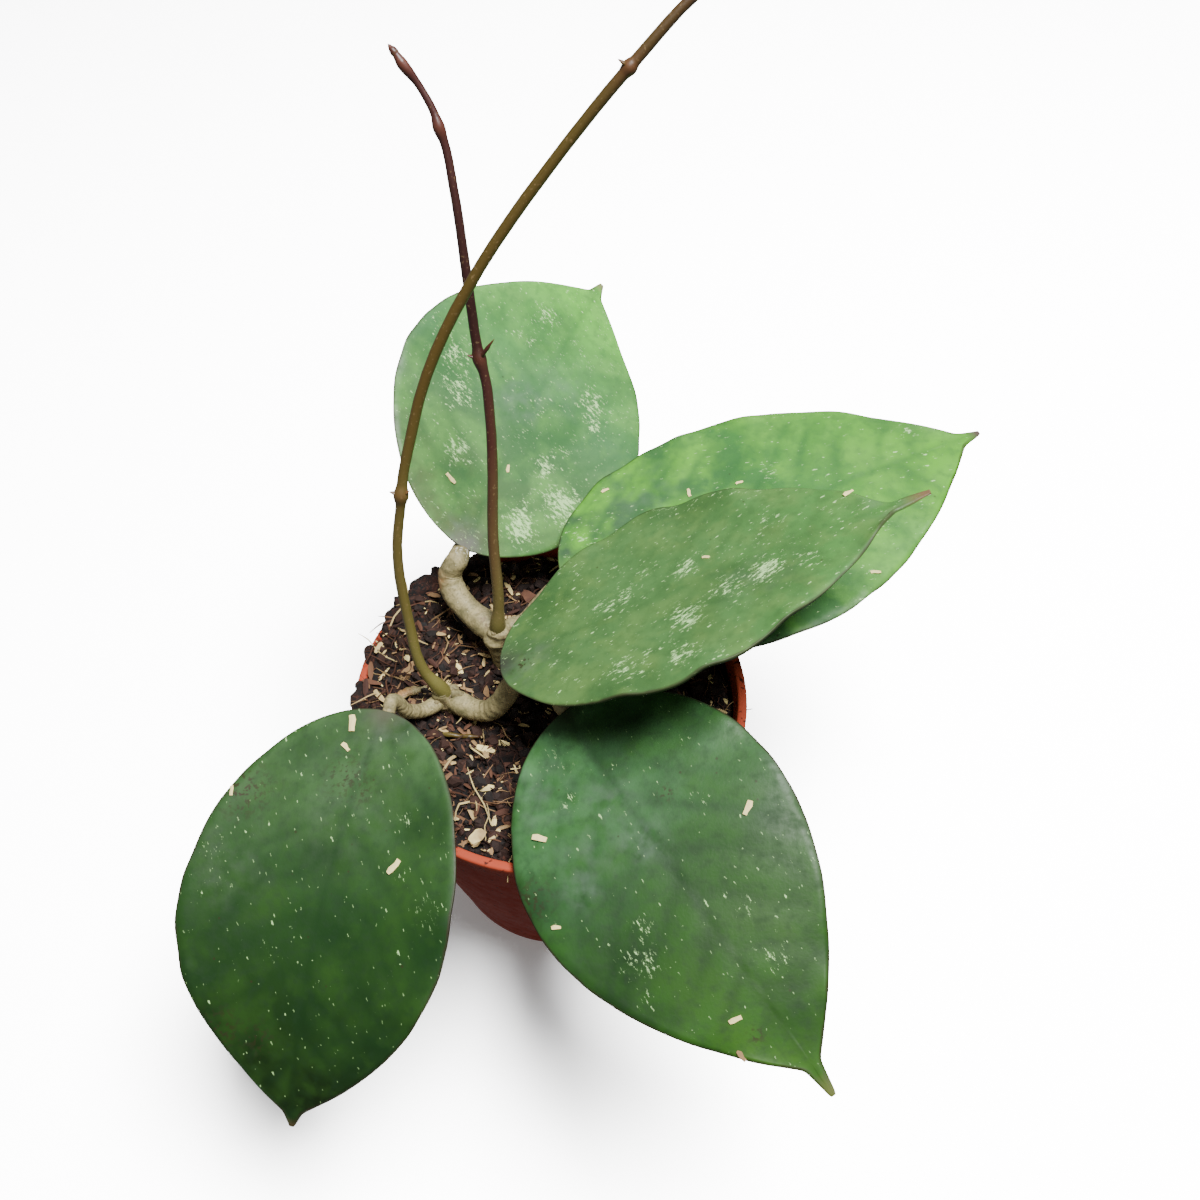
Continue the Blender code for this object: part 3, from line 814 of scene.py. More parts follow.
@dataclass
class CompostBed:
    """The compost: lumpy coir heaped against the left and back-left of the pot and sunken at the right."""

    finish: Coir = Coir("damp_coir_compost")
    steps: int = 200
    rings: int = 66
    edge_radius: float = 56.2
    heap_height: float = 5.5
    heap_bearing: float = 152.0     # direction of the heap from the middle, degrees from +X towards +Y
    heap_spread: float = 38.0

    def heap(self, x: float, y: float) -> float:
        """Return the height of the heap over the level bed at a place, all in mm."""
        away = math.hypot(x, y)
        bearing = math.degrees(math.atan2(y, x)) - self.heap_bearing
        bearing = (bearing + 180) % 360 - 180
        share = math.exp(-(bearing / self.heap_spread) ** 2)
        return self.heap_height * share * max(0.0, (away - 22) / 36) ** 1.3

    def level(self, x: float, y: float) -> float:
        """Return the height of the compost without its lumps at a place, all in mm."""
        level = SOIL_LEVEL - SOIL_TILT * x / POT_TOP_RADIUS + 1.2 * noise.noise(Vector((x / 9, y / 9, 4.2)))
        return level + self.heap(x, y)

    def height(self, x: float, y: float) -> float:
        """Return the height of the compost's surface at a place, all in mm."""
        lumps = (3.0 * noise.noise(Vector((x / 6.5, y / 6.5, 7.1)))
                 + 2.2 * noise.noise(Vector((x / 2.6, y / 2.6, 1.3))))
        lumps += 2.2 * abs(noise.noise(Vector((x / 3.4, y / 3.4, 12.0)))) - 0.9
        return self.level(x, y) + lumps

    def build(self) -> None:
        """Spin the bed and raise its lumps."""
        floor = POT_FLOOR + 0.3
        wall = NurseryPot.wall_radius
        profile = [(0.0, floor), (wall(floor) - POT_WALL - 1.6, floor),
                   (wall(floor + 2) - POT_WALL - 0.4, floor + 2),
                   (wall(SOIL_LEVEL - 8) - POT_WALL - 1.4, SOIL_LEVEL - 8)]
        profile += [(self.edge_radius * (1 - ring / self.rings), SOIL_LEVEL)
                    for ring in range(self.rings + 1)]
        bm = bmesh.new()
        verts = [bm.verts.new(mm((radius, 0.0, height))) for radius, height in profile]
        edges = [bm.edges.new(pair) for pair in zip(verts, verts[1:])]
        bmesh.ops.spin(bm, geom=verts + edges, cent=(0, 0, 0), axis=(0, 0, 1), dvec=(0, 0, 0), angle=math.tau,
                       steps=self.steps, use_merge=True, use_duplicate=False)
        bmesh.ops.remove_doubles(bm, verts=bm.verts, dist=mm(0.01))
        lump = bm.verts.layers.float.new("lump")
        for vert in bm.verts:
            if vert.co.z < mm(SOIL_LEVEL - 0.5):
                continue
            x, y = vert.co.x * 1000, vert.co.y * 1000
            height = self.height(x, y)
            away = math.hypot(x, y)
            if away > self.edge_radius - 0.4:
                height = min(height, POT_HEIGHT + 1.0)
            vert.co.z = mm(height)
            # Painted shade: the lump value grows with the height over the level bed, so the compost's colour
            # leaves the hollows nearly black.
            vert[lump] = min(1.0, max(0.0, 0.35 + 0.30 * (height - self.level(x, y))))
        material = self.finish.make()
        add_piece("compost_bed", bm, [material], ["soil"])
        CompostSpill(self).build(material)


@dataclass
class CompostSpill:
    """Lumps of compost that lie over the rim where the pot is heaped."""

    bed: CompostBed
    arcs: Sequence[tuple[float, float, float, float, float]] = (
        # from and to bearing in degrees, distance from the middle, height, radius
        (112.0, 160.0, 57.2, 104.6, 4.3), (122.0, 150.0, 60.0, 103.8, 3.0), (176.0, 192.0, 58.4, 104.0, 2.2),
        (163.0, 171.0, 57.6, 103.8, 1.6))

    def build(self, material: Material) -> None:
        """Build the lumps.

        Args:
            material: Material of the compost.
        """
        tubes = []
        steps = 6
        for start, stop, away, height, radius in self.arcs:
            knots = []
            for step in range(steps + 1):
                share = step / steps
                bearing = math.radians(start + (stop - start) * share)
                swell = math.sin(math.pi * (0.06 + 0.88 * share)) ** 0.6
                knots.append((away * math.cos(bearing), away * math.sin(bearing),
                              height + 0.6 * radius * (swell - 1), radius * swell))
            tubes.append(Tube(knots, sides=28, per_span=10, flat=0.8, lump=2.4, lump_size=2.7))
        bm = new_tubes(*tubes)
        # The spill's lumps take one middle value of the painted-shade lump mask.
        lump = bm.verts.layers.float.new("lump")
        for vert in bm.verts:
            vert[lump] = 0.6
        add_piece("compost_spill", bm, [material])


class Bit(Enum):
    """Kinds of loose bits in the compost, which say where each takes its shade from."""

    CRUMB = (0.0, 0.42)
    FIBRE = (0.30, 0.86)
    CHIP = (0.40, 1.0)
    ROOT = (0.80, 1.0)


@dataclass
class CompostLitter:
    """Loose bits that lie on the compost: peat crumbs, coir fibres, wood chips and fine roots."""

    bed: CompostBed
    finish: LooseBits = LooseBits("peat_bark_and_wood_bits", stops=(
        (0.0, "080504"), (0.3, "26130b"), (0.5, "3e2116"), (0.66, "5e3c28"), (0.82, "947650"),
        (1.0, "f0dc98")))
    counts: Mapping[Bit, int] = field(default_factory=lambda: {Bit.CRUMB: 2600, Bit.FIBRE: 900,
                                                               Bit.CHIP: 1150,
                                                               Bit.ROOT: 60})
    seed: int = 7

    def template(self, kind: Bit, rng: random.Random) -> bpy.types.Mesh:
        """Make one bit, a few millimetres long, round the origin.

        Args:
            kind: What it is.
            rng: The source of its irregularity.

        Returns:
            A mesh with a "shade" value on its vertices.
        """
        bm = bmesh.new()
        bm.verts.layers.float_color.new("run")
        if kind is Bit.CRUMB:
            bmesh.ops.create_icosphere(bm, subdivisions=1, radius=mm(1.0))
            for vert in bm.verts:
                vert.co *= rng.uniform(0.62, 1.25)
        elif kind is Bit.CHIP:
            long = rng.uniform(1.8, 3.4)
            bend = rng.uniform(-0.3, 0.3)
            Tube([(-long, 0, 0, rng.uniform(0.25, 0.6)), (-long * 0.5, bend, 0, rng.uniform(0.6, 1.0)),
                  (long * 0.4, bend, 0.1, rng.uniform(0.6, 1.0)), (long, 0, 0, rng.uniform(0.2, 0.6))],
                 sides=5, per_span=1, flat=rng.uniform(0.3, 0.6)).sweep(bm)
        else:
            long = rng.uniform(4.0, 8.0) if kind is Bit.FIBRE else rng.uniform(6.0, 11.0)
            girth = rng.uniform(0.10, 0.26) if kind is Bit.FIBRE else rng.uniform(0.18, 0.34)
            reach = 0.28 * long
            knots = [(-long + 2 * long * step / 4, rng.uniform(-reach, reach) * 0.6,
                      rng.uniform(-0.1, 0.22) * long * (1 - abs(step - 2) / 2),
                      girth * (0.4 if step in (0, 4) else 1))
                     for step in range(5)]
            Tube(knots, sides=3, per_span=2).sweep(bm)
        mesh = bpy.data.meshes.new("bit")
        bm.to_mesh(mesh)
        bm.free()
        mesh.attributes.remove(mesh.attributes["run"])
        mesh.attributes.new("shade", "FLOAT", "POINT")
        return mesh

    def spot(self, rng: random.Random, kind: Bit) -> Vector:
        """Choose where a bit lies, mm.

        Args:
            rng: The source of chance.
            kind: What it is.

        Returns:
            A place on the compost.
        """
        while True:
            bearing = rng.uniform(0, math.tau)
            away = 56.5 * math.sqrt(rng.random())
            x, y = away * math.cos(bearing), away * math.sin(bearing)
            # The clean chips and pale roots gather at the left and the front.
            if kind in (Bit.CHIP, Bit.ROOT) and rng.random() < 0.45 * (x + 10 > 0) * (y > -20):
                continue
            return Vector((x, y, self.bed.height(x, y)))

    def build(self) -> Material:
        """Scatter every kind of bit.

        Returns:
            The material of the loose bits.
        """
        material = self.finish.make()
        rng = random.Random(self.seed)
        for kind, count in self.counts.items():
            templates = [self.template(kind, rng) for _ in range(10)]
            bm = bmesh.new()
            for _ in range(count):
                bit = rng.choice(templates).copy()
                place = self.spot(rng, kind)
                size = {Bit.CRUMB: rng.choice((0.4, 0.6, 0.8, 1.1, 1.5, 2.1)),
                        Bit.CHIP: rng.choice((0.3, 0.4, 0.5, 0.7, 1.0)),
                        Bit.FIBRE: rng.uniform(0.6, 1.3), Bit.ROOT: rng.uniform(0.8, 1.3)}[kind]
                lean = 0.9 if kind is Bit.CRUMB else 0.32
                turn = (Matrix.Rotation(rng.uniform(0, math.tau), 4, "Z")
                        @ Matrix.Rotation(rng.gauss(0, lean), 4, "Y")
                        @ Matrix.Rotation(rng.gauss(0, lean), 4, "X"))
                rise = 0.3 if kind is Bit.CRUMB else 0.9
                bit.transform(Matrix.Translation(mm(place + Vector((0, 0, rise)))) @ turn
                              @ Matrix.Scale(size, 4))
                low, high = kind.value
                shade = low + (high - low) * rng.random() ** (1.6 if kind is Bit.FIBRE else 1.0)
                bit.attributes["shade"].data.foreach_set("value", [shade] * len(bit.vertices))
                bm.from_mesh(bit)
                bpy.data.meshes.remove(bit)
            for template in templates:
                bpy.data.meshes.remove(template)
            add_piece(f"compost_{kind.name.lower()}s", bm, [material], sharp=25.0)
        return material


@dataclass
class BarkChip:
    """A splintered chip of bark or clean wood that lies on the compost."""

    name: str
    x: float
    y: float
    length: float
    width: float
    thickness: float
    turn: float                 # degrees about Z
    shade: float                # place in the colours of the loose bits

    def build(self, material: Material) -> None:
        """Cut the chip from a block, split and thin its ends and roughen it.

        Args:
            material: Material of the loose bits.
        """
        low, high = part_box(self.name)
        bm = bmesh.new()
        shade = bm.verts.layers.float.new("shade")
        bmesh.ops.create_cube(bm, size=1.0)
        bmesh.ops.subdivide_edges(bm, edges=bm.edges, cuts=5, use_grid_fill=True)
        for vert in bm.verts:
            x, y, z = vert.co
            ends = (2 * abs(x)) ** 3
            ragged = 0.22 * noise.noise(Vector((y * 9, z * 3, self.turn))) * ends
            taper = 1 - 0.35 * ends
            vert.co = (x * self.length * (1 + ragged), y * self.width * taper,
                       z * self.thickness * (1 - 0.4 * ends))
            vert.co += Vector((0, 0.12, 0.10)) * self.thickness * 3 * noise.noise(vert.co / 2.4)
            vert[shade] = self.shade + 0.10 * noise.noise(vert.co / 1.5)
        middle = (low + high) / 2
        place = (Matrix.Translation(middle) @ Matrix.Rotation(math.radians(self.turn), 4, "Z")
                 @ Matrix.Scale(0.001, 4))
        bmesh.ops.transform(bm, matrix=place, verts=bm.verts)
        add_piece(self.name + "_wood", bm, [material], [self.name], 50.0)


CHIPS = [
    BarkChip("bark_chip_front", -19.5, -48.0, 5.2, 3.0, 1.8, 50, 0.90),
    BarkChip("bark_chip_middle", -19.0, -19.5, 5.6, 1.8, 1.2, -15, 1.0),
    BarkChip("bark_chip_left", -44.0, 8.0, 9.0, 2.6, 1.8, 60, 0.80),
    BarkChip("bark_chip_right", 38.0, 26.0, 6.0, 4.0, 2.2, 40, 0.55),
    BarkChip("bark_chip_back", -8.0, 38.0, 7.0, 3.4, 2.0, -35, 0.60),
]


# ------------------------------------------------------------------ leaves

@dataclass(frozen=True)
class Spot:
    """A round place on a blade."""

    along: float                # from the foot, mm
    offset: float               # to the left of the midrib, mm
    radius: float
    strength: float = 1.0

    def weight(self, along: float, offset: float) -> float:
        """Return how much a place on the blade lies in the spot."""
        away = ((along - self.along) ** 2 + (offset - self.offset) ** 2) / self.radius ** 2
        return self.strength * math.exp(-away) if away < 6 else 0.0


def strongest(spots: Sequence[Spot], along: float, offset: float) -> float:
    """Return the greatest weight of some spots at a place on a blade."""
    return max((spot.weight(along, offset) for spot in spots), default=0.0)


@dataclass
class Blade:
    """The sheet of one leaf: where its stalk meets it, how it leans and bends, and its outline."""

    foot: Point                 # the end of the stalk
    heading: float              # compass direction of the midrib, degrees from +X towards +Y
    rise: float                 # how steeply the midrib climbs at the foot, degrees
    droop: float                # how much of that climb is lost evenly along the midrib, degrees
    roll: float                 # bank of the blade about the midrib, left side up, degrees
    nod: float = 3.0            # extra droop gathered near the tip, degrees
    sweep: float = 0.0          # how far the heading turns along the midrib, degrees
    length: float = 115.0       # foot to the end of the broad part
    left: float = 40.0          # greatest half-width left of the midrib
    right: float = 40.0
    widest: float = 0.45        # where the blade is widest, as a fraction of its length
    shoulder: float = 1.9       # roundness of the foot end: 2 is an ellipse
    taper: float = 2.0          # fullness towards the tip: 2 is a parabola
    point: float = 5.0          # length of the narrow drawn-out tip
    cup: float = 2.0            # how far the margins stand above the midrib at the widest

    def half_width(self, along: float, greatest: float) -> float:
        """Give the distance from the midrib to the margin.

        Args:
            along: Distance along the midrib.
            greatest: Greatest half-width of that side.

        Returns:
            The half-width there.
        """
        reach = min(along / self.length, 1.0)
        if reach < self.widest:
            inner = 1 - ((self.widest - reach) / self.widest) ** self.shoulder
            broad = greatest * max(inner, 0.0) ** (1 / self.shoulder)
        else:
            broad = greatest * (1 - ((reach - self.widest) / (1 - self.widest)) ** self.taper)
        if along < self.length - 1.2 * self.point:
            return max(broad, 2.0)
        left_over = (self.length + self.point - along) / (2.2 * self.point)
        narrow = 0.085 * (self.left + self.right) / 2 * max(left_over, 0.0) ** 0.9
        blend = 0.5 * (broad + narrow + math.sqrt((broad - narrow) ** 2 + 0.6))
        return max(blend if along < self.length + self.point - 0.01 else 0.0, 0.45)

    def frame(self, fraction: float) -> tuple[Vector, Vector, Vector]:
        """Give the blade's directions at a fraction of its whole length.

        Args:
            fraction: 0 at the foot and 1 at the tip.

        Returns:
            Directions ahead along the midrib, to the left, and up from the blade.
        """
        heading = math.radians(self.heading + self.sweep * fraction)
        rise = math.radians(self.rise - self.droop * fraction - self.nod * fraction ** 3)
        ahead = Vector((math.cos(rise) * math.cos(heading), math.cos(rise) * math.sin(heading),
                        math.sin(rise)))
        left = Vector((-math.sin(heading), math.cos(heading), 0.0))
        up = ahead.cross(left)
        bank = math.radians(self.roll)
        return ahead, left * math.cos(bank) + up * math.sin(bank), up * math.cos(bank) - left * math.sin(bank)

    def rows(self, count: int) -> list[tuple[float, Vector, Vector, Vector]]:
        """Follow the midrib.

        Args:
            count: Steps from foot to tip, closer together at both ends.

        Returns:
            For each row the distance along, the midrib's place, and the directions left and up.
        """
        total = self.length + self.point
        fractions = [0.5 * i / count + 0.25 * (1 - math.cos(math.pi * i / count)) for i in range(count + 1)]
        place = Vector(self.foot)
        rows: list[tuple[float, Vector, Vector, Vector]] = []
        before: tuple[float, Vector] | None = None
        for fraction in fractions:
            ahead, left, up = self.frame(fraction)
            if before is not None:
                place = place + (ahead + before[1]) / 2 * total * (fraction - before[0])
            rows.append((total * fraction, place, left, up))
            before = (fraction, ahead)
        return rows


@dataclass
class HoyaLeaf:
    """One leaf: a blade with sunken veins, quilted fields and a thin rolled margin."""

    name: str
    blade: Blade
    skin: LeafSkin
    slot: str
    splashes: Sequence[Spot] = ()       # gathered silvery flecks
    scurf: Sequence[Spot] = ()          # brown corky specks
    painted_sheen: Sequence[Spot] = ()          # painted grey sheen
    chips: Sequence[tuple[float, float, float, float]] = ()     # loose bits: along, offset, length, turn
    thickness: float = 1.1
    rows: int = 170
    columns: int = 88
    vein_pitch: float = 14.0            # between one side vein and the next, mm
    ripple: float = 0.5                 # height of the waves along the margin, mm
    seed: float = 0.0

    def vein_distance(self, along: float, offset: float) -> float:
        """Return the distance to the nearest side vein at a place on the blade, mm."""
        out = abs(offset)
        start = along - 0.50 * out - 0.011 * out * out + (0.5 * self.vein_pitch if offset > 0 else 0.0)
        start += 5.0 * noise.noise(Vector((along / 21, offset / 21, self.seed)))
        return abs((start / self.vein_pitch + 0.5) % 1.0 - 0.5) * self.vein_pitch

    def vein_weight(self, along: float, offset: float, half: float) -> float:
        """Return how strongly a vein shows at a place on the blade, 0 to 1."""
        share = abs(offset) / max(half, 0.1)
        midrib = math.exp(-(offset / 1.5) ** 2) * (1.1 - 0.6 * along / self.blade.length)
        inside = max(0.0, 1 - (share / 0.93) ** 6)
        faint = 0.5 + 0.5 * noise.noise(Vector((along / 12, offset / 12, self.seed + 9.0)))
        side = math.exp(-(self.vein_distance(along, offset) / 2.2) ** 2) * inside * faint
        loop = math.exp(
            -((share - 0.86 + 0.03 * noise.noise(Vector((along / 8, 0.0, self.seed)))) / 0.025) ** 2) * 0.2
        return min(1.0, max(midrib, side, loop))

    def relief(self, along: float, offset: float, half: float) -> float:
        """Return how far the upper surface stands over the smooth sheet, mm."""
        share = abs(offset) / max(half, 0.1)
        total = self.blade.length + self.blade.point
        fade = min(1.0, along / 14) * min(1.0, (total - along) / 14)
        groove = -0.04 * math.exp(-(offset / 2.0) ** 2)
        between = self.vein_distance(along, offset) / (0.5 * self.vein_pitch)
        quilt = 0.11 * between * max(0.0, 1 - share ** 4)
        swell = 0.8 * noise.noise(Vector((along / 34, offset / 30, self.seed + 3.0)))
        wave = self.ripple * share ** 4 * math.sin(
            along / 4.1 + 2.4 * noise.noise(Vector((along / 19, self.seed, 0.0)))
            + (1.9 if offset > 0 else 0.0))
        rolled = -0.5 * max(0.0, (share - 0.93) / 0.07) ** 2
        return fade * (groove + quilt + swell + wave + rolled)

    def build(self, underside: Material) -> None:
        """Build the blade.

        Args:
            underside: Material of its lower face.
        """
        bm = bmesh.new()
        bmesh.ops.create_grid(bm, x_segments=self.rows, y_segments=self.columns, size=1.0)
        marks = bm.verts.layers.float_color.new("marks")
        outline = bm.verts.layers.float_color.new("outline")
        rows = self.blade.rows(self.rows)
        total = self.blade.length + self.blade.point
        for vert in bm.verts:
            along, place, left, up = rows[round((vert.co.x + 1) / 2 * self.rows)]
            # The columns lie closer together towards the margin.
            across = 0.35 * vert.co.y + 0.65 * math.sin(math.pi / 2 * vert.co.y)
            half = self.blade.half_width(along, self.blade.left if across > 0 else self.blade.right)
            half += (0.45 * noise.noise(Vector((along / 9, self.seed, 5.0 if across > 0 else 8.0)))
                     * min(1.0, half / 12))
            offset = across * half
            cup = self.blade.cup * (2 * offset / (self.blade.left + self.blade.right)) ** 2
            vert.co = mm(place + left * offset + up * (cup + self.relief(along, offset, half)))
            to_margin = min(half - abs(offset), total - along)
            ragged = 0.25 * noise.noise(Vector((along / 2.5, offset / 2.5, self.seed)))
            # The marks' fourth value places the painted grey sheen.
            vert[marks] = (self.vein_weight(along, offset, half), strongest(self.splashes, along, offset),
                           strongest(self.scurf, along, offset), strongest(self.painted_sheen, along, offset))
            narrow = min(1.0, half / 3.0)
            # The outline's fourth value, the share of the way along the blade, sets the foot-to-tip colours
            # that hold painted light and shade.
            vert[outline] = (max(0.0, min(0.75, 1.15 - (to_margin + ragged) / 0.55)) * narrow,
                             max(0.0, min(1.0, (along - self.blade.length - 0.1 * self.blade.point)
                                          / (0.7 * self.blade.point))),
                             math.exp(-(math.hypot(along, offset) / 5.5) ** 2), along / total)
        leaf = add_piece(self.name + "_blade", bm, [self.skin.make(), underside], [self.name])
        solid = leaf.modifiers.new("thickness", "SOLIDIFY")
        solid.thickness = mm(self.thickness)
        solid.offset = 0.0
        solid.use_even_offset = True
        solid.material_offset = 1

    def place_on(self, along: float, offset: float) -> tuple[Vector, Vector, Vector]:
        """Give a place on the upper face with its directions ahead and up, mm."""
        rows = self.blade.rows(200)
        row = min(rows, key=lambda item: abs(item[0] - along))
        half = self.blade.half_width(along, self.blade.left if offset > 0 else self.blade.right)
        cup = self.blade.cup * (2 * offset / (self.blade.left + self.blade.right)) ** 2
        _, place, left, up = row
        height = cup + self.relief(along, offset, half) + self.thickness / 2
        return place + left * offset + up * height, left.cross(up), up

    def build_chips(self, material: Material) -> None:
        """Lay the loose bits on the blade.

        Args:
            material: Material of the bits.
        """
        if not self.chips:
            return
        bm = bmesh.new()
        run = bm.verts.layers.float_color.new("run")
        shade = bm.verts.layers.float.new("shade")
        for index, (along, offset, long, turn) in enumerate(self.chips):
            place, ahead, up = self.place_on(along, offset)
            way = Matrix.Rotation(math.radians(turn), 3, up) @ ahead
            side = up.cross(way)
            wide = 0.20 * abs(long)
            lift = up * (0.35 * wide)
            knots = [(*(place + lift - way * long * 0.5), wide * 0.85),
                     (*(place + lift - way * long * 0.2 + side * 0.2), wide),
                     (*(place + lift + way * long * 0.25), wide * 0.85),
                     (*(place + lift + way * long * 0.5), wide * 0.75)]
            before = len(bm.verts)
            Tube(knots, sides=5, per_span=1, flat=0.5, lump=0.6, lump_size=0.8).sweep(bm)
            bm.verts.ensure_lookup_table()
            for vert in bm.verts[before:]:
                vert[shade] = 0.80 if index % 5 == 4 else 1.0
        bm.verts.layers.float_color.remove(run)
        add_piece(self.name + "_loose_chips", bm, [material], sharp=20.0)


# ------------------------------------------------------------------ stems, stalks and shoots

STEM_FOOT = 72.0

STEMS: dict[str, list[Knot]] = {
    "stem_back": [(-15.2, 13.4, STEM_FOOT, 3.4), (-15.2, 13.4, 90, 3.6), (-15.2, 13.4, 102, 3.7),
                  (-15.8, 13.9, 108, 4.0), (-16.5, 14.4, 113, 4.8), (-16.2, 13.8, 116.4, 3.4)],
    "stem_front": [(-31, -3.1, STEM_FOOT, 3.2), (-31, -3.1, 92, 3.4), (-31, -3.1, 101, 4.0),
                   (-31.3, -3.3, 105, 4.4), (-32.5, -3.9, 108.4, 3.0)],
    "stem_hidden": [(3, 1, STEM_FOOT, 3.0), (3, 1, 90, 3.1), (3, 1, 104, 3.2), (3, 1, 109.5, 3.9),
                    (3, 1, 112.5, 2.6)],
}


@dataclass
class CorkyStem:
    """A rooted stem with the swollen node that its stalks and its shoot spring from."""

    name: str
    scars: Sequence[tuple[float, float, float, float]] = ()
    warts: Sequence[tuple[float, float, float, float]] = ()

    def build(self, material: Material) -> None:
        """Build the stem, its rounded top and its warts.

        Args:
            material: The corky skin.
        """
        knots = STEMS[self.name]
        x, y, z, radius = knots[-1]
        closing = [(x, y, z + 1.6, radius * 0.75), (x, y, z + 2.5, radius * 0.2)]
        tubes = [Tube(list(knots) + closing, sides=28, per_span=6, lump=0.9, lump_size=3.0, ring=0.06,
                      scars=self.scars)]
        for wart_x, wart_y, wart_z, wart_radius in self.warts:
            outward = Vector((wart_x - x, wart_y - y, wart_z - z)).normalized()
            place = Vector((wart_x, wart_y, wart_z))
            tubes.append(Tube([(*(place - outward * 2.0), wart_radius), (*place, wart_radius),
                               (*(place + outward * wart_radius * 0.8), wart_radius * 0.7),
                               (*(place + outward * wart_radius * 1.2), wart_radius * 0.1)],
                              sides=12, per_span=3, lump=0.3, lump_size=1.2, scars=[(*place, wart_radius)]))
        nodes = [self.name, "stem_bud"] if self.name == "stem_back" else [self.name]
        add_piece(self.name + "_cork", new_tubes(*tubes), [material], nodes)


@dataclass
class LeafStalk:
    """The thick curved stalk that carries a blade, run on as the keel under its midrib."""

    leaf: HoyaLeaf
    stem: str
    points: Sequence[Knot]
    end_radius: float
    under: bool = False         # the blade lies on the end of the stalk
    scars: Sequence[tuple[float, float, float, float]] = ()
    sap: Sequence[tuple[float, float, float, float]] = ()
    warm: Sequence[tuple[float, float, float, float]] = ()
    lead: float = 3.2

    def build(self, material: Material) -> None:
        """Build the stalk and the keel.

        Args:
            material: The corky skin.
        """
        blade = self.leaf.blade
        *centre, girth = STEMS[self.stem][-2]
        start = [(*centre, self.points[0][3] * 0.9)]
        course = (Vector(self.points[0][:3]) - Vector(centre)).normalized()
        start.append((*(Vector(centre) + course * girth), self.points[0][3] * 1.12))
        ahead, _, up = blade.frame(0.0)
        radius = self.end_radius
        if self.under:
            seat, course = Vector(blade.foot) + ahead * radius - up * 0.4, up
            end = [(*(seat - course * self.lead), radius), (*(seat - course * 1.0), radius * 1.1),
                   (*seat, radius * 0.7)]
        else:
            seat, course = Vector(blade.foot), ahead
            end = [(*(seat - course * self.lead - up * 0.3 * radius), radius),
                   (*(seat - course * 0.8 - up * 0.7 * radius), radius * 0.9),
                   (*(seat + course * 2.4 - up * (0.55 + 0.8 * radius)), radius * 0.7),
                   (*(seat + course * 5.0 - up * (0.55 + 0.5 * radius)), radius * 0.3)]
        stalk = Tube(start + list(self.points) + end, sides=26, per_span=8, lump=0.22, lump_size=3.4,
                     ring=0.06, ring_pitch=1.1, scars=self.scars, sap=self.sap, warm=self.warm)
        keel = []
        for along, place, _, row_up in blade.rows(16)[0:15]:
            share = along / blade.length
            girth = (0.3 + 1.0 * (1 - share) ** 1.3) * min(1.0, 0.35 + along / 12)
            relief = self.leaf.relief(along, 0.0, 20.0) - self.leaf.thickness / 2
            keel.append((*(place + row_up * (relief - 0.55 * girth)), girth))
        tubes = [stalk, Tube(keel, sides=10, per_span=4)]
        add_piece(self.leaf.name.replace("leaf", "stalk") + "_cork", new_tubes(*tubes), [material],
                  [self.leaf.name.replace("leaf", "stalk")])


@dataclass
class Shoot:
    """A long bare climbing shoot with swollen joints, each with its pair of withered bracts or buds."""

    name: str
    stem: str
    points: Sequence[Knot]
    bark: ShootBark
    slot: str
    joints: Sequence[int]                       # knots that are joints
    # Node, knot, heading, length and radius of each bud.
    buds: Sequence[tuple[str, int, tuple[float, float, float], float, float]]
    tip: tuple[str, float, float]               # node, length and radius of the bud at the end
    base_radius: float = 2.1

    def bud(self, place: Vector, heading: Vector, length: float, radius: float, flat: float) -> Tube:
        """Shape a bud or bract.

        Args:
            place: Where it springs from.
            heading: Its direction.
            length: Its length.
            radius: Its greatest radius.
            flat: Its thickness as a share of its width.

        Returns:
            A pointed tube.
        """
        side = heading.cross(Vector((0.3, 0.9, 0.1))).normalized()
        profile = ((-0.25, 0.6), (0.15, 1.0), (0.45, 0.9), (0.75, 0.5), (1.0, 0.08))
        knots = [(*(place + heading * length * reach + side * 0.3 * reach), radius * share)
                 for reach, share in profile]
        return Tube(knots, sides=10, per_span=3, flat=flat, lump=0.12, lump_size=0.8,
                    scars=[(*(place + heading * length), length * 0.5)])

    def build(self) -> None:
        """Build the shoot with its joints, bracts and buds."""
        *node, _ = STEMS[self.stem][-2]
        *top, _ = STEMS[self.stem][-1]
        start = [(*(Vector(top) * 0.6 + Vector(node) * 0.4), self.base_radius * 1.25),
                 (*(Vector(top) + Vector((0, 0, 1.2))), self.base_radius * 1.2)]
        knots = start + list(self.points)
        collars = [(*self.points[joint][:3], 2.0) for joint in self.joints]
        tubes = [Tube(knots, sides=14, per_span=5, lump=0.10, lump_size=3.5, scars=collars)]
        nodes = [self.name]
        for name, knot, heading, length, radius in self.buds:
            place, girth = Vector(self.points[knot][:3]), self.points[knot][3]
            course = Vector(heading).normalized()
            tubes.append(self.bud(place + course * girth * 0.5, course, length, radius, 0.6))
            nodes.append(name)
        end, before = Vector(self.points[-1][:3]), Vector(self.points[-2][:3])
        name, length, radius = self.tip
        tubes.append(self.bud(end - (end - before).normalized() * 0.3, (end - before).normalized(), length,
                              radius, 0.9))
        nodes.append(name)
        add_piece(self.name + "_bark", new_tubes(*tubes), [self.bark.make()], nodes)


# ------------------------------------------------------------------ the whole plant

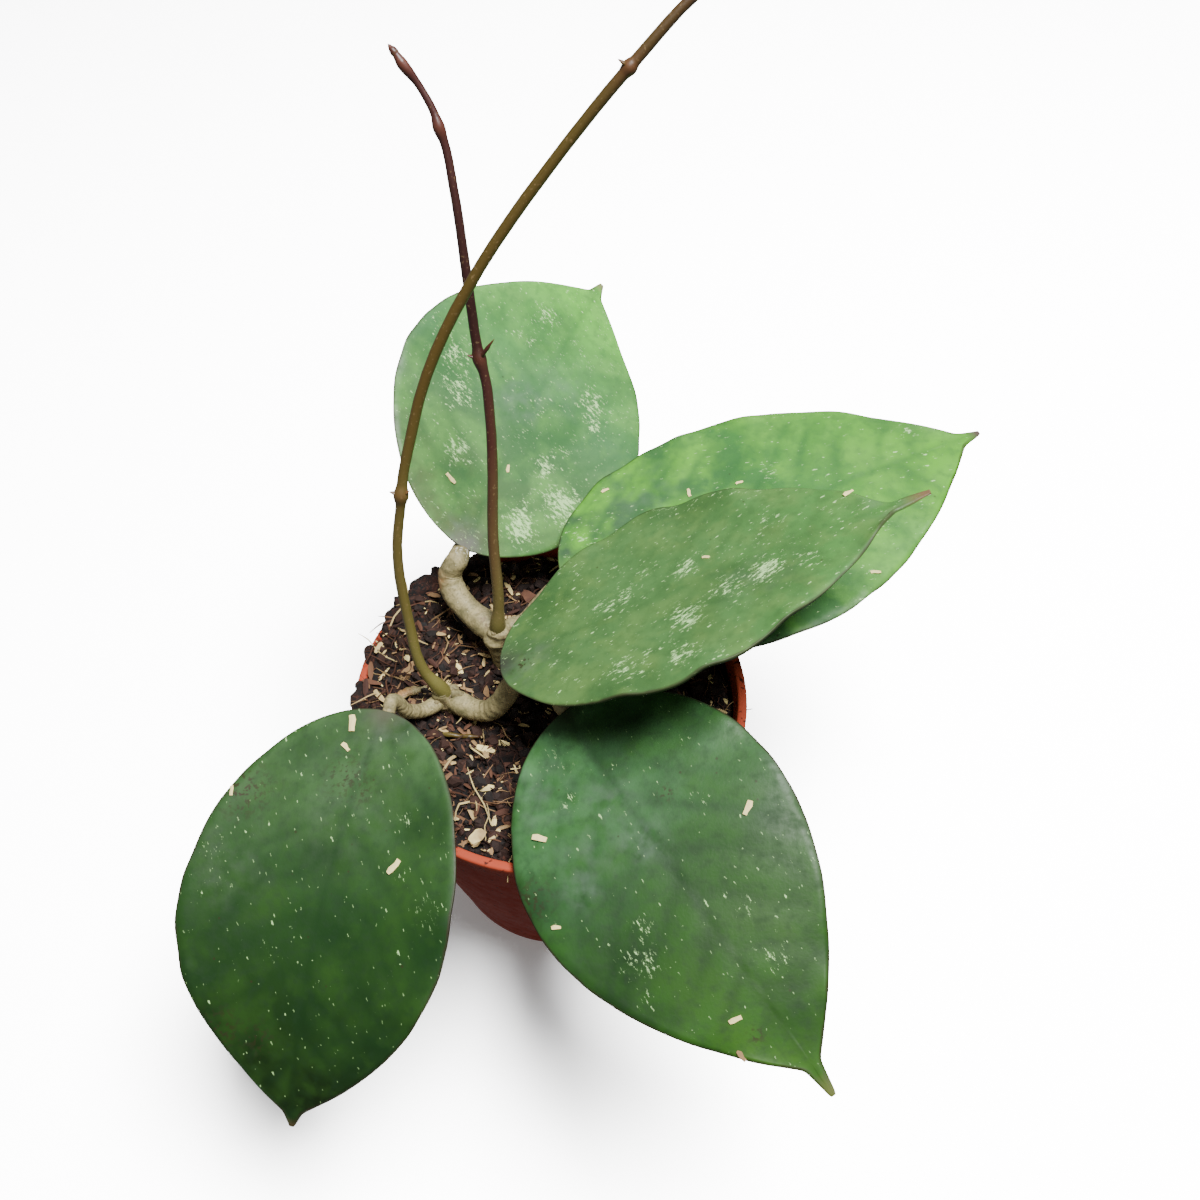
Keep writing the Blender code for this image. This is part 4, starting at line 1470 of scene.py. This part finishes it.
LEAVES = [
    HoyaLeaf(
        "leaf_back",
        Blade((-27, 35, 130), heading=69, rise=15, droop=12, roll=33, nod=6, left=45, right=41, shoulder=1.8),
        LeafSkin("hoya_leaf_waxy_grey_green", "506838", "487848", "68b840", "609848", "306030",
                 "748477", "7a8050", "706b64", patch=0.6, speckle=0.95, streak=-30.0),
        "leaf_pale",
        splashes=[Spot(71, -17, 5), Spot(63, -21, 4), Spot(38, -13, 3.5), Spot(30, -22, 7, 1.2),
                  Spot(16, -13, 6, 1.1), Spot(90, 9, 5, 0.8), Spot(57, 30, 6, 0.9), Spot(77, 11, 4, 0.8),
                  Spot(27, 16, 5, 0.8), Spot(45, 24, 7, 0.6), Spot(84, -10, 4, 0.6)],
        painted_sheen=[Spot(1, 2, 7, 0.9), Spot(55, 4, 8, 0.6), Spot(70, -5, 12, 0.3)],
        chips=[(18, 13, 4.0, 70), (31, -2, 2.6, 20)], ripple=0.35, seed=1.0),
    HoyaLeaf(
        "leaf_back_right",
        Blade((4, 25, 125), heading=17, rise=10, droop=5, roll=5, nod=0, sweep=5, length=136, right=42,
              shoulder=2.2, cup=-2),
        LeafSkin("hoya_leaf_waxy_quilted", "385038", "387030", "58a020", "589830", "285828",
                 "64796a", "4d4038", "585c4a", patch=1.0, speckle=0.65, vein=0.7, streak=10.0),
        "leaf_quilted",
        splashes=[Spot(75, 13, 5), Spot(121, 10, 4, 0.9), Spot(68, 31, 4, 0.7), Spot(98, -21, 5, 0.6),
                  Spot(10, 13, 8, 0.7), Spot(84, -30, 4, 0.6)],
        painted_sheen=[Spot(35, 20, 12, 0.3)],
        chips=[(23, 28, 2.6, 10), (47, 16, 3.0, 80), (63, 13, 2.4, 0), (87, -33, 3.0, -20)],
        ripple=0.5, seed=2.0),
    HoyaLeaf(
        "leaf_top_right",
        Blade((-13, -9, 130), heading=13, rise=23, droop=0, roll=-18, sweep=-4, length=117,
              right=38, point=9),
        LeafSkin("hoya_leaf_waxy_mid_green", "486c3c", "48703c", "488038", "608040", "305028",
                 "647062", "70583e", "322e2e", patch=0.4, speckle=0.9, vein=0.35, streak=25.0),
        "leaf_mid",
        splashes=[Spot(85, 13, 4, 0.8), Spot(79, -7, 5, 1.0), Spot(67, -8, 5, 0.8), Spot(91, -10, 5, 0.7),
                  Spot(58, 7, 4, 0.8), Spot(39, 5, 6, 0.9), Spot(56, -15, 6), Spot(53, -29, 6, 1.0),
                  Spot(34, -24, 6, 0.8), Spot(25, 29, 6, 0.7)],
        scurf=[Spot(7, -4, 3.0, 0.9)],
        painted_sheen=[Spot(7, -4, 9, 0.55), Spot(115, 1, 5, 0.7), Spot(76, -8, 10, 0.3)],
        chips=[(107, 11, 3.0, 20), (65, 8, 2.2, -30)], ripple=0.8, seed=3.0),
    HoyaLeaf(
        "leaf_front_right",
        Blade((5, -20, 123), heading=-59, rise=0, droop=20, roll=22, sweep=8, length=113, left=38, right=39,
              widest=0.4, point=7, cup=-1),
        LeafSkin("hoya_leaf_waxy_deep_green", "487848", "204018", "386018", "285018", "102810",
                 "68756e", "5c6432", "283420", patch=0.6, speckle=0.4, streak=-60.0),
        "leaf_deep",
        splashes=[Spot(12, -10, 8, 0.8), Spot(22, -13, 4, 1.0), Spot(44, 16, 4, 0.8), Spot(60, -15, 5, 1.0),
                  Spot(68, -20, 7, 1.1), Spot(72, 10, 4, 1.0), Spot(85, 8, 7, 1.1), Spot(76, -25, 3.5, 0.9),
                  Spot(88, -19, 4, 0.6), Spot(70, 23, 4, 0.6), Spot(24, 12, 9, 0.5)],
        scurf=[Spot(37, 10, 1.8), Spot(38, -36, 5, 0.6), Spot(98, -7, 1.6)],
        painted_sheen=[Spot(43, -3, 6, 0.6), Spot(30, -4, 8, 0.4), Spot(43, -23, 6, 0.5), Spot(36, -15, 12, 0.25),
               Spot(15, -20, 12, 0.3)],
        chips=[(26, -25, 4.2, 40), (53, 25, 4.0, -60), (48, -34, 2.6, 60), (92, -9, 3.4, 80),
               (100, -13, 3.0, 10)],
        ripple=0.45, seed=4.0),
    HoyaLeaf(
        "leaf_front_left",
        Blade((-46, -18, 120), heading=-108, rise=-10, droop=33, roll=6, nod=9, sweep=11, length=113, left=38,
              widest=0.5, taper=2.2, point=3, cup=4),
        LeafSkin("hoya_leaf_waxy_dark_green", "406038", "204018", "081800", "284818", "102c10",
                 "5c685c", "403820", "4c4c3c", patch=0.6, speckle=0.4, streak=-70.0),
        "leaf_dark",
        splashes=[Spot(14, 9, 5, 0.7), Spot(31, 4, 3, 0.9), Spot(28, 17, 3.5, 0.9), Spot(47, -34, 6, 0.8),
                  Spot(57, -34, 6, 0.7), Spot(44, 21, 4, 0.9), Spot(50, 31, 7, 0.9), Spot(71, -12, 5, 0.6),
                  Spot(71, 23, 4, 0.7), Spot(80, 20, 4, 0.5)],
        scurf=[Spot(31, -31, 6, 0.9), Spot(21, -4, 5, 0.7), Spot(93, -11, 4, 0.5), Spot(92, -22, 5, 0.6),
               Spot(24, 2, 3, 0.6)],
        painted_sheen=[Spot(3, 3, 8, 0.6), Spot(28, 0, 16, 0.25), Spot(50, -30, 12, 0.3)],
        chips=[(32, -34, 2.8, 20), (13, -7, 3.2, 60), (6, -8, 5.0, 20), (41, 18, 4.6, -30)],
        ripple=0.4, seed=5.0),
]

STALKS = [
    ("leaf_back", "stem_back", [(-26.8, 23.0, 115.8, 3.9), (-30.4, 27.0, 118.6, 4.0),
                                (-31.6, 30.6, 122.8, 3.7)], 3.3, False),
    ("leaf_back_right", "stem_back", [(-8.0, 17.6, 115.6, 2.8), (-3.0, 21.6, 120.2, 2.6)], 2.2, False),
    ("leaf_top_right", "stem_front", [(-22.6, -8.4, 105.8, 3.2), (-18.6, -9.9, 107.8, 3.3),
                                      (-14.6, -10.3, 112.5, 3.3), (-11.4, -9.6, 119.0, 3.2)], 2.6, True),
    ("leaf_front_right", "stem_hidden", [(3.4, -7.8, 116.2, 2.6), (3.6, -12.4, 120.8, 2.4)], 2.2, False),
    ("leaf_front_left", "stem_front", [(-37.8, -8.4, 105.8, 2.2), (-41.6, -11.8, 110.6, 2.2)], 2.0, False),
]

SHOOTS = [
    Shoot("shoot_purple", "stem_back", [
        (-15.5, 16, 125, 1.7), (-16, 24, 146, 1.6), (-15, 33, 169, 1.5), (-15, 38, 182, 1.4),
        (-16, 42.5, 193, 1.4), (-17, 44, 196.5, 1.9), (-17.5, 45.5, 200, 1.35), (-19, 52, 216, 1.3),
        (-21, 60, 237, 1.15), (-22.5, 64, 246, 1.1), (-23.5, 65, 249, 1.5), (-24.5, 66.5, 252, 1.0),
        (-28, 69, 258, 0.95), (-31, 70, 262, 1.35), (-32.5, 71, 264, 0.9)],
        ShootBark("young_bark_purple_brown", stops=((0.05, "5e5a2e"), (0.22, "574326"), (0.45, "43221a"),
                                                    (0.7, "2f1512"), (1.0, "41201c"))),
        "purple_shoot", (5, 10, 13),
        [("purple_bract", 5, (-1.0, -0.2, 0.6), 2.6, 0.8), ("purple_bud", 5, (0.55, -0.1, 0.8), 7.6, 1.0)],
        ("purple_tip_bud", 2.8, 1.1)),
    Shoot("shoot_olive", "stem_front", [
        (-37, -2.5, 118, 1.6), (-40, 4, 134, 1.5), (-41, 13, 157, 1.45), (-39, 17.5, 168, 1.4),
        (-38.5, 18.5, 171, 2.1), (-38, 20, 174, 1.45), (-35, 24.5, 185, 1.45), (-29, 31, 202, 1.45),
        (-14, 41, 227, 1.45), (6, 51, 251, 1.4), (20, 56.5, 266, 1.35), (21.5, 57, 267.5, 1.8),
        (23, 57.5, 269, 1.3), (35, 62.5, 280, 1.2), (50, 67, 289, 0.9), (51.5, 67, 289.5, 1.2),
        (53, 67.5, 290, 0.8)],
        ShootBark("young_bark_olive", stops=((0.03, "6c6936"), (0.2, "5c5226"), (0.5, "4c3c14"),
                                             (0.8, "4a3c12"), (1.0, "46301c"))),
        "olive_shoot", (4, 11, 15),
        [("olive_bract_left", 4, (-1.0, -0.2, 0.7), 2.4, 0.8),
         ("olive_bract_right", 4, (1.0, -0.2, 0.7), 2.4, 0.8),
         ("olive_bud", 11, (-0.7, -0.2, 0.7), 2.6, 0.8)],
        ("olive_tip_bud", 3.6, 0.9)),
]


@dataclass
class Studio:
    """A white paper floor, soft lights and the camera, which looks down on the plant from the front."""

    camera_place: Point = (15.0, -186.0, 387.0)
    camera_aim: Point = (15.0, 35.0, 104.0)
    lens: float = 33.0
    sensor: float = 36.0
    floor_side: float = 8000.0

    def add_lamp(self, name: str, place: Point, aim: Point, side: float, watts: float) -> bpy.types.Object:
        """Hang a square soft box.

        Args:
            name: Name of the lamp.
            place: Where it hangs, mm.
            aim: What it points at, mm.
            side: Length of its side, mm.
            watts: Its power.

        Returns:
            The lamp.
        """
        lamp = bpy.data.lights.new(name, "AREA")
        lamp.shape = "SQUARE"
        lamp.size = mm(side)
        lamp.energy = watts
        holder = bpy.data.objects.new(name, lamp)
        holder.location = mm(place)
        holder.rotation_euler = (Vector(aim) - Vector(place)).to_track_quat("-Z", "Y").to_euler()
        bpy.context.scene.collection.objects.link(holder)
        return holder

    def build(self) -> None:
        """Set up the camera, the floor and the lights."""
        lens = bpy.data.cameras.new("camera")
        lens.lens, lens.sensor_width = self.lens, self.sensor
        camera = bpy.data.objects.new("camera", lens)
        camera.location = mm(self.camera_place)
        camera.rotation_euler = (Vector(self.camera_aim) - Vector(self.camera_place)).to_track_quat(
            "-Z", "Y").to_euler()
        bpy.context.scene.collection.objects.link(camera)
        bpy.context.scene.camera = camera

        bm = bmesh.new()
        bmesh.ops.create_grid(bm, x_segments=8, y_segments=8, size=mm(self.floor_side / 2))
        bmesh.ops.translate(bm, verts=bm.verts, vec=mm((0, 0, -0.2)))
        mesh = bpy.data.meshes.new("floor")
        bm.to_mesh(mesh)
        bm.free()
        mesh.materials.append(PaperSweep("white_studio_paper").make())
        floor = bpy.data.objects.new("floor", mesh)
        bpy.context.scene.collection.objects.link(floor)

        world = bpy.data.worlds.new("soft_white_room")
        world.use_nodes = True
        background = world.node_tree.nodes["Background"]
        background.inputs["Color"].default_value = (1.0, 1.0, 1.0, 1.0)
        background.inputs["Strength"].default_value = 0.24
        bpy.context.scene.world = world
        middle = (0.0, 0.0, 110.0)
        self.add_lamp("key_box", (270, -150, 1480), middle, 500, 50.0)
        self.add_lamp("rim_box", (300, 1000, 800), middle, 600, 3.0)
        # As in a studio, the paper has a lamp of its own, so that it stays white behind the plant.
        paper_lamp = self.add_lamp("paper_box", (430, 70, 1650), middle, 850, 430.0)
        paper = bpy.data.collections.new("paper")
        paper.objects.link(floor)
        paper_lamp.light_linking.receiver_collection = paper
        floor.visible_diffuse = floor.visible_glossy = False


def build_leaves(bits: Material) -> None:
    """Build every leaf with its stalk and the loose bits that lie on it, and the stems and chips.

    Args:
        bits: Material of the loose bits.
    """
    underside = LeafUnderside("hoya_leaf_dull_underside").make()
    corky = StalkSkin("corky_hoya_stalk").make()
    by_name = {leaf.name: leaf for leaf in LEAVES}
    for leaf in LEAVES:
        leaf.build(underside)
        leaf.build_chips(bits)
    for name, stem, points, end_radius, under in STALKS:
        LeafStalk(by_name[name], stem, points, end_radius, under,
                  sap=[(-27.6, 33.6, 129.6, 2.6)] if name == "leaf_back" else (),
                  warm=[(-34.5, 29.0, 122.0, 3.0)] if name == "leaf_back" else (),
                  scars=[(-19.5, 17.0, 116.0, 3.0)] if name == "leaf_back" else ()).build(corky)
    CorkyStem("stem_back", scars=[(-13.5, 11.5, 114.5, 3.0)], warts=[(-17.0, 12.5, 117.0, 1.3)]).build(corky)
    CorkyStem("stem_front", scars=[(-29.0, -6.0, 106.0, 3.5)],
              warts=[(-27.6, -4.4, 108.2, 1.5), (-34.5, -6.5, 106.5, 1.3)]).build(corky)
    CorkyStem("stem_hidden").build(corky)
    for chip in CHIPS:
        chip.build(bits)
    build_lying(corky, SHOOTS[1].bark.make())


def build_lying(material: Material, bark: Material) -> None:
    """Build the papery strand and the green twig that lie on the compost.

    Args:
        material: Material of the corky strand.
        bark: Material of the twig.
    """
    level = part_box("papery_strand")[0].z * 1000
    strand = [(-50.6, -4.8, level + 1.0, 0.5), (-47.0, -2.4, level + 2.0, 1.8),
              (-43.0, -0.4, level + 2.2, 1.7), (-38.4, 1.6, level + 1.4, 0.6)]
    warm = [(-46.0, -2.0, level + 2.0, 4.0)]
    sheath = new_tubes(Tube(strand, sides=14, per_span=8, flat=0.55, lump=0.7, lump_size=1.6, warm=warm))
    add_piece("papery_strand_sheath", sheath, [material], ["papery_strand"])
    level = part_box("green_twig")[0].z * 1000
    twig = [(-33.4, -13.8, level + 0.5, 0.5), (-30.0, -14.6, level + 1.1, 0.8),
            (-27.0, -14.9, level + 0.9, 0.7), (-24.0, -15.2, level + 1.2, 0.75),
            (-21.2, -15.0, level + 0.6, 0.4)]
    add_piece("green_twig_bark", new_tubes(Tube(twig, sides=10, per_span=5, lump=0.25, lump_size=1.3)),
              [bark], ["green_twig"])


def main() -> None:
    """Load the frame and build every part of the plant around it."""
    logging.basicConfig(level=logging.INFO, format="%(name)s %(message)s")
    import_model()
    Studio().build()
    NurseryPot().build()
    bed = CompostBed()
    bed.build()
    bits = CompostLitter(bed).build()
    build_leaves(bits)
    for shoot in SHOOTS:
        shoot.build()


if __name__ == "__main__":
    main()
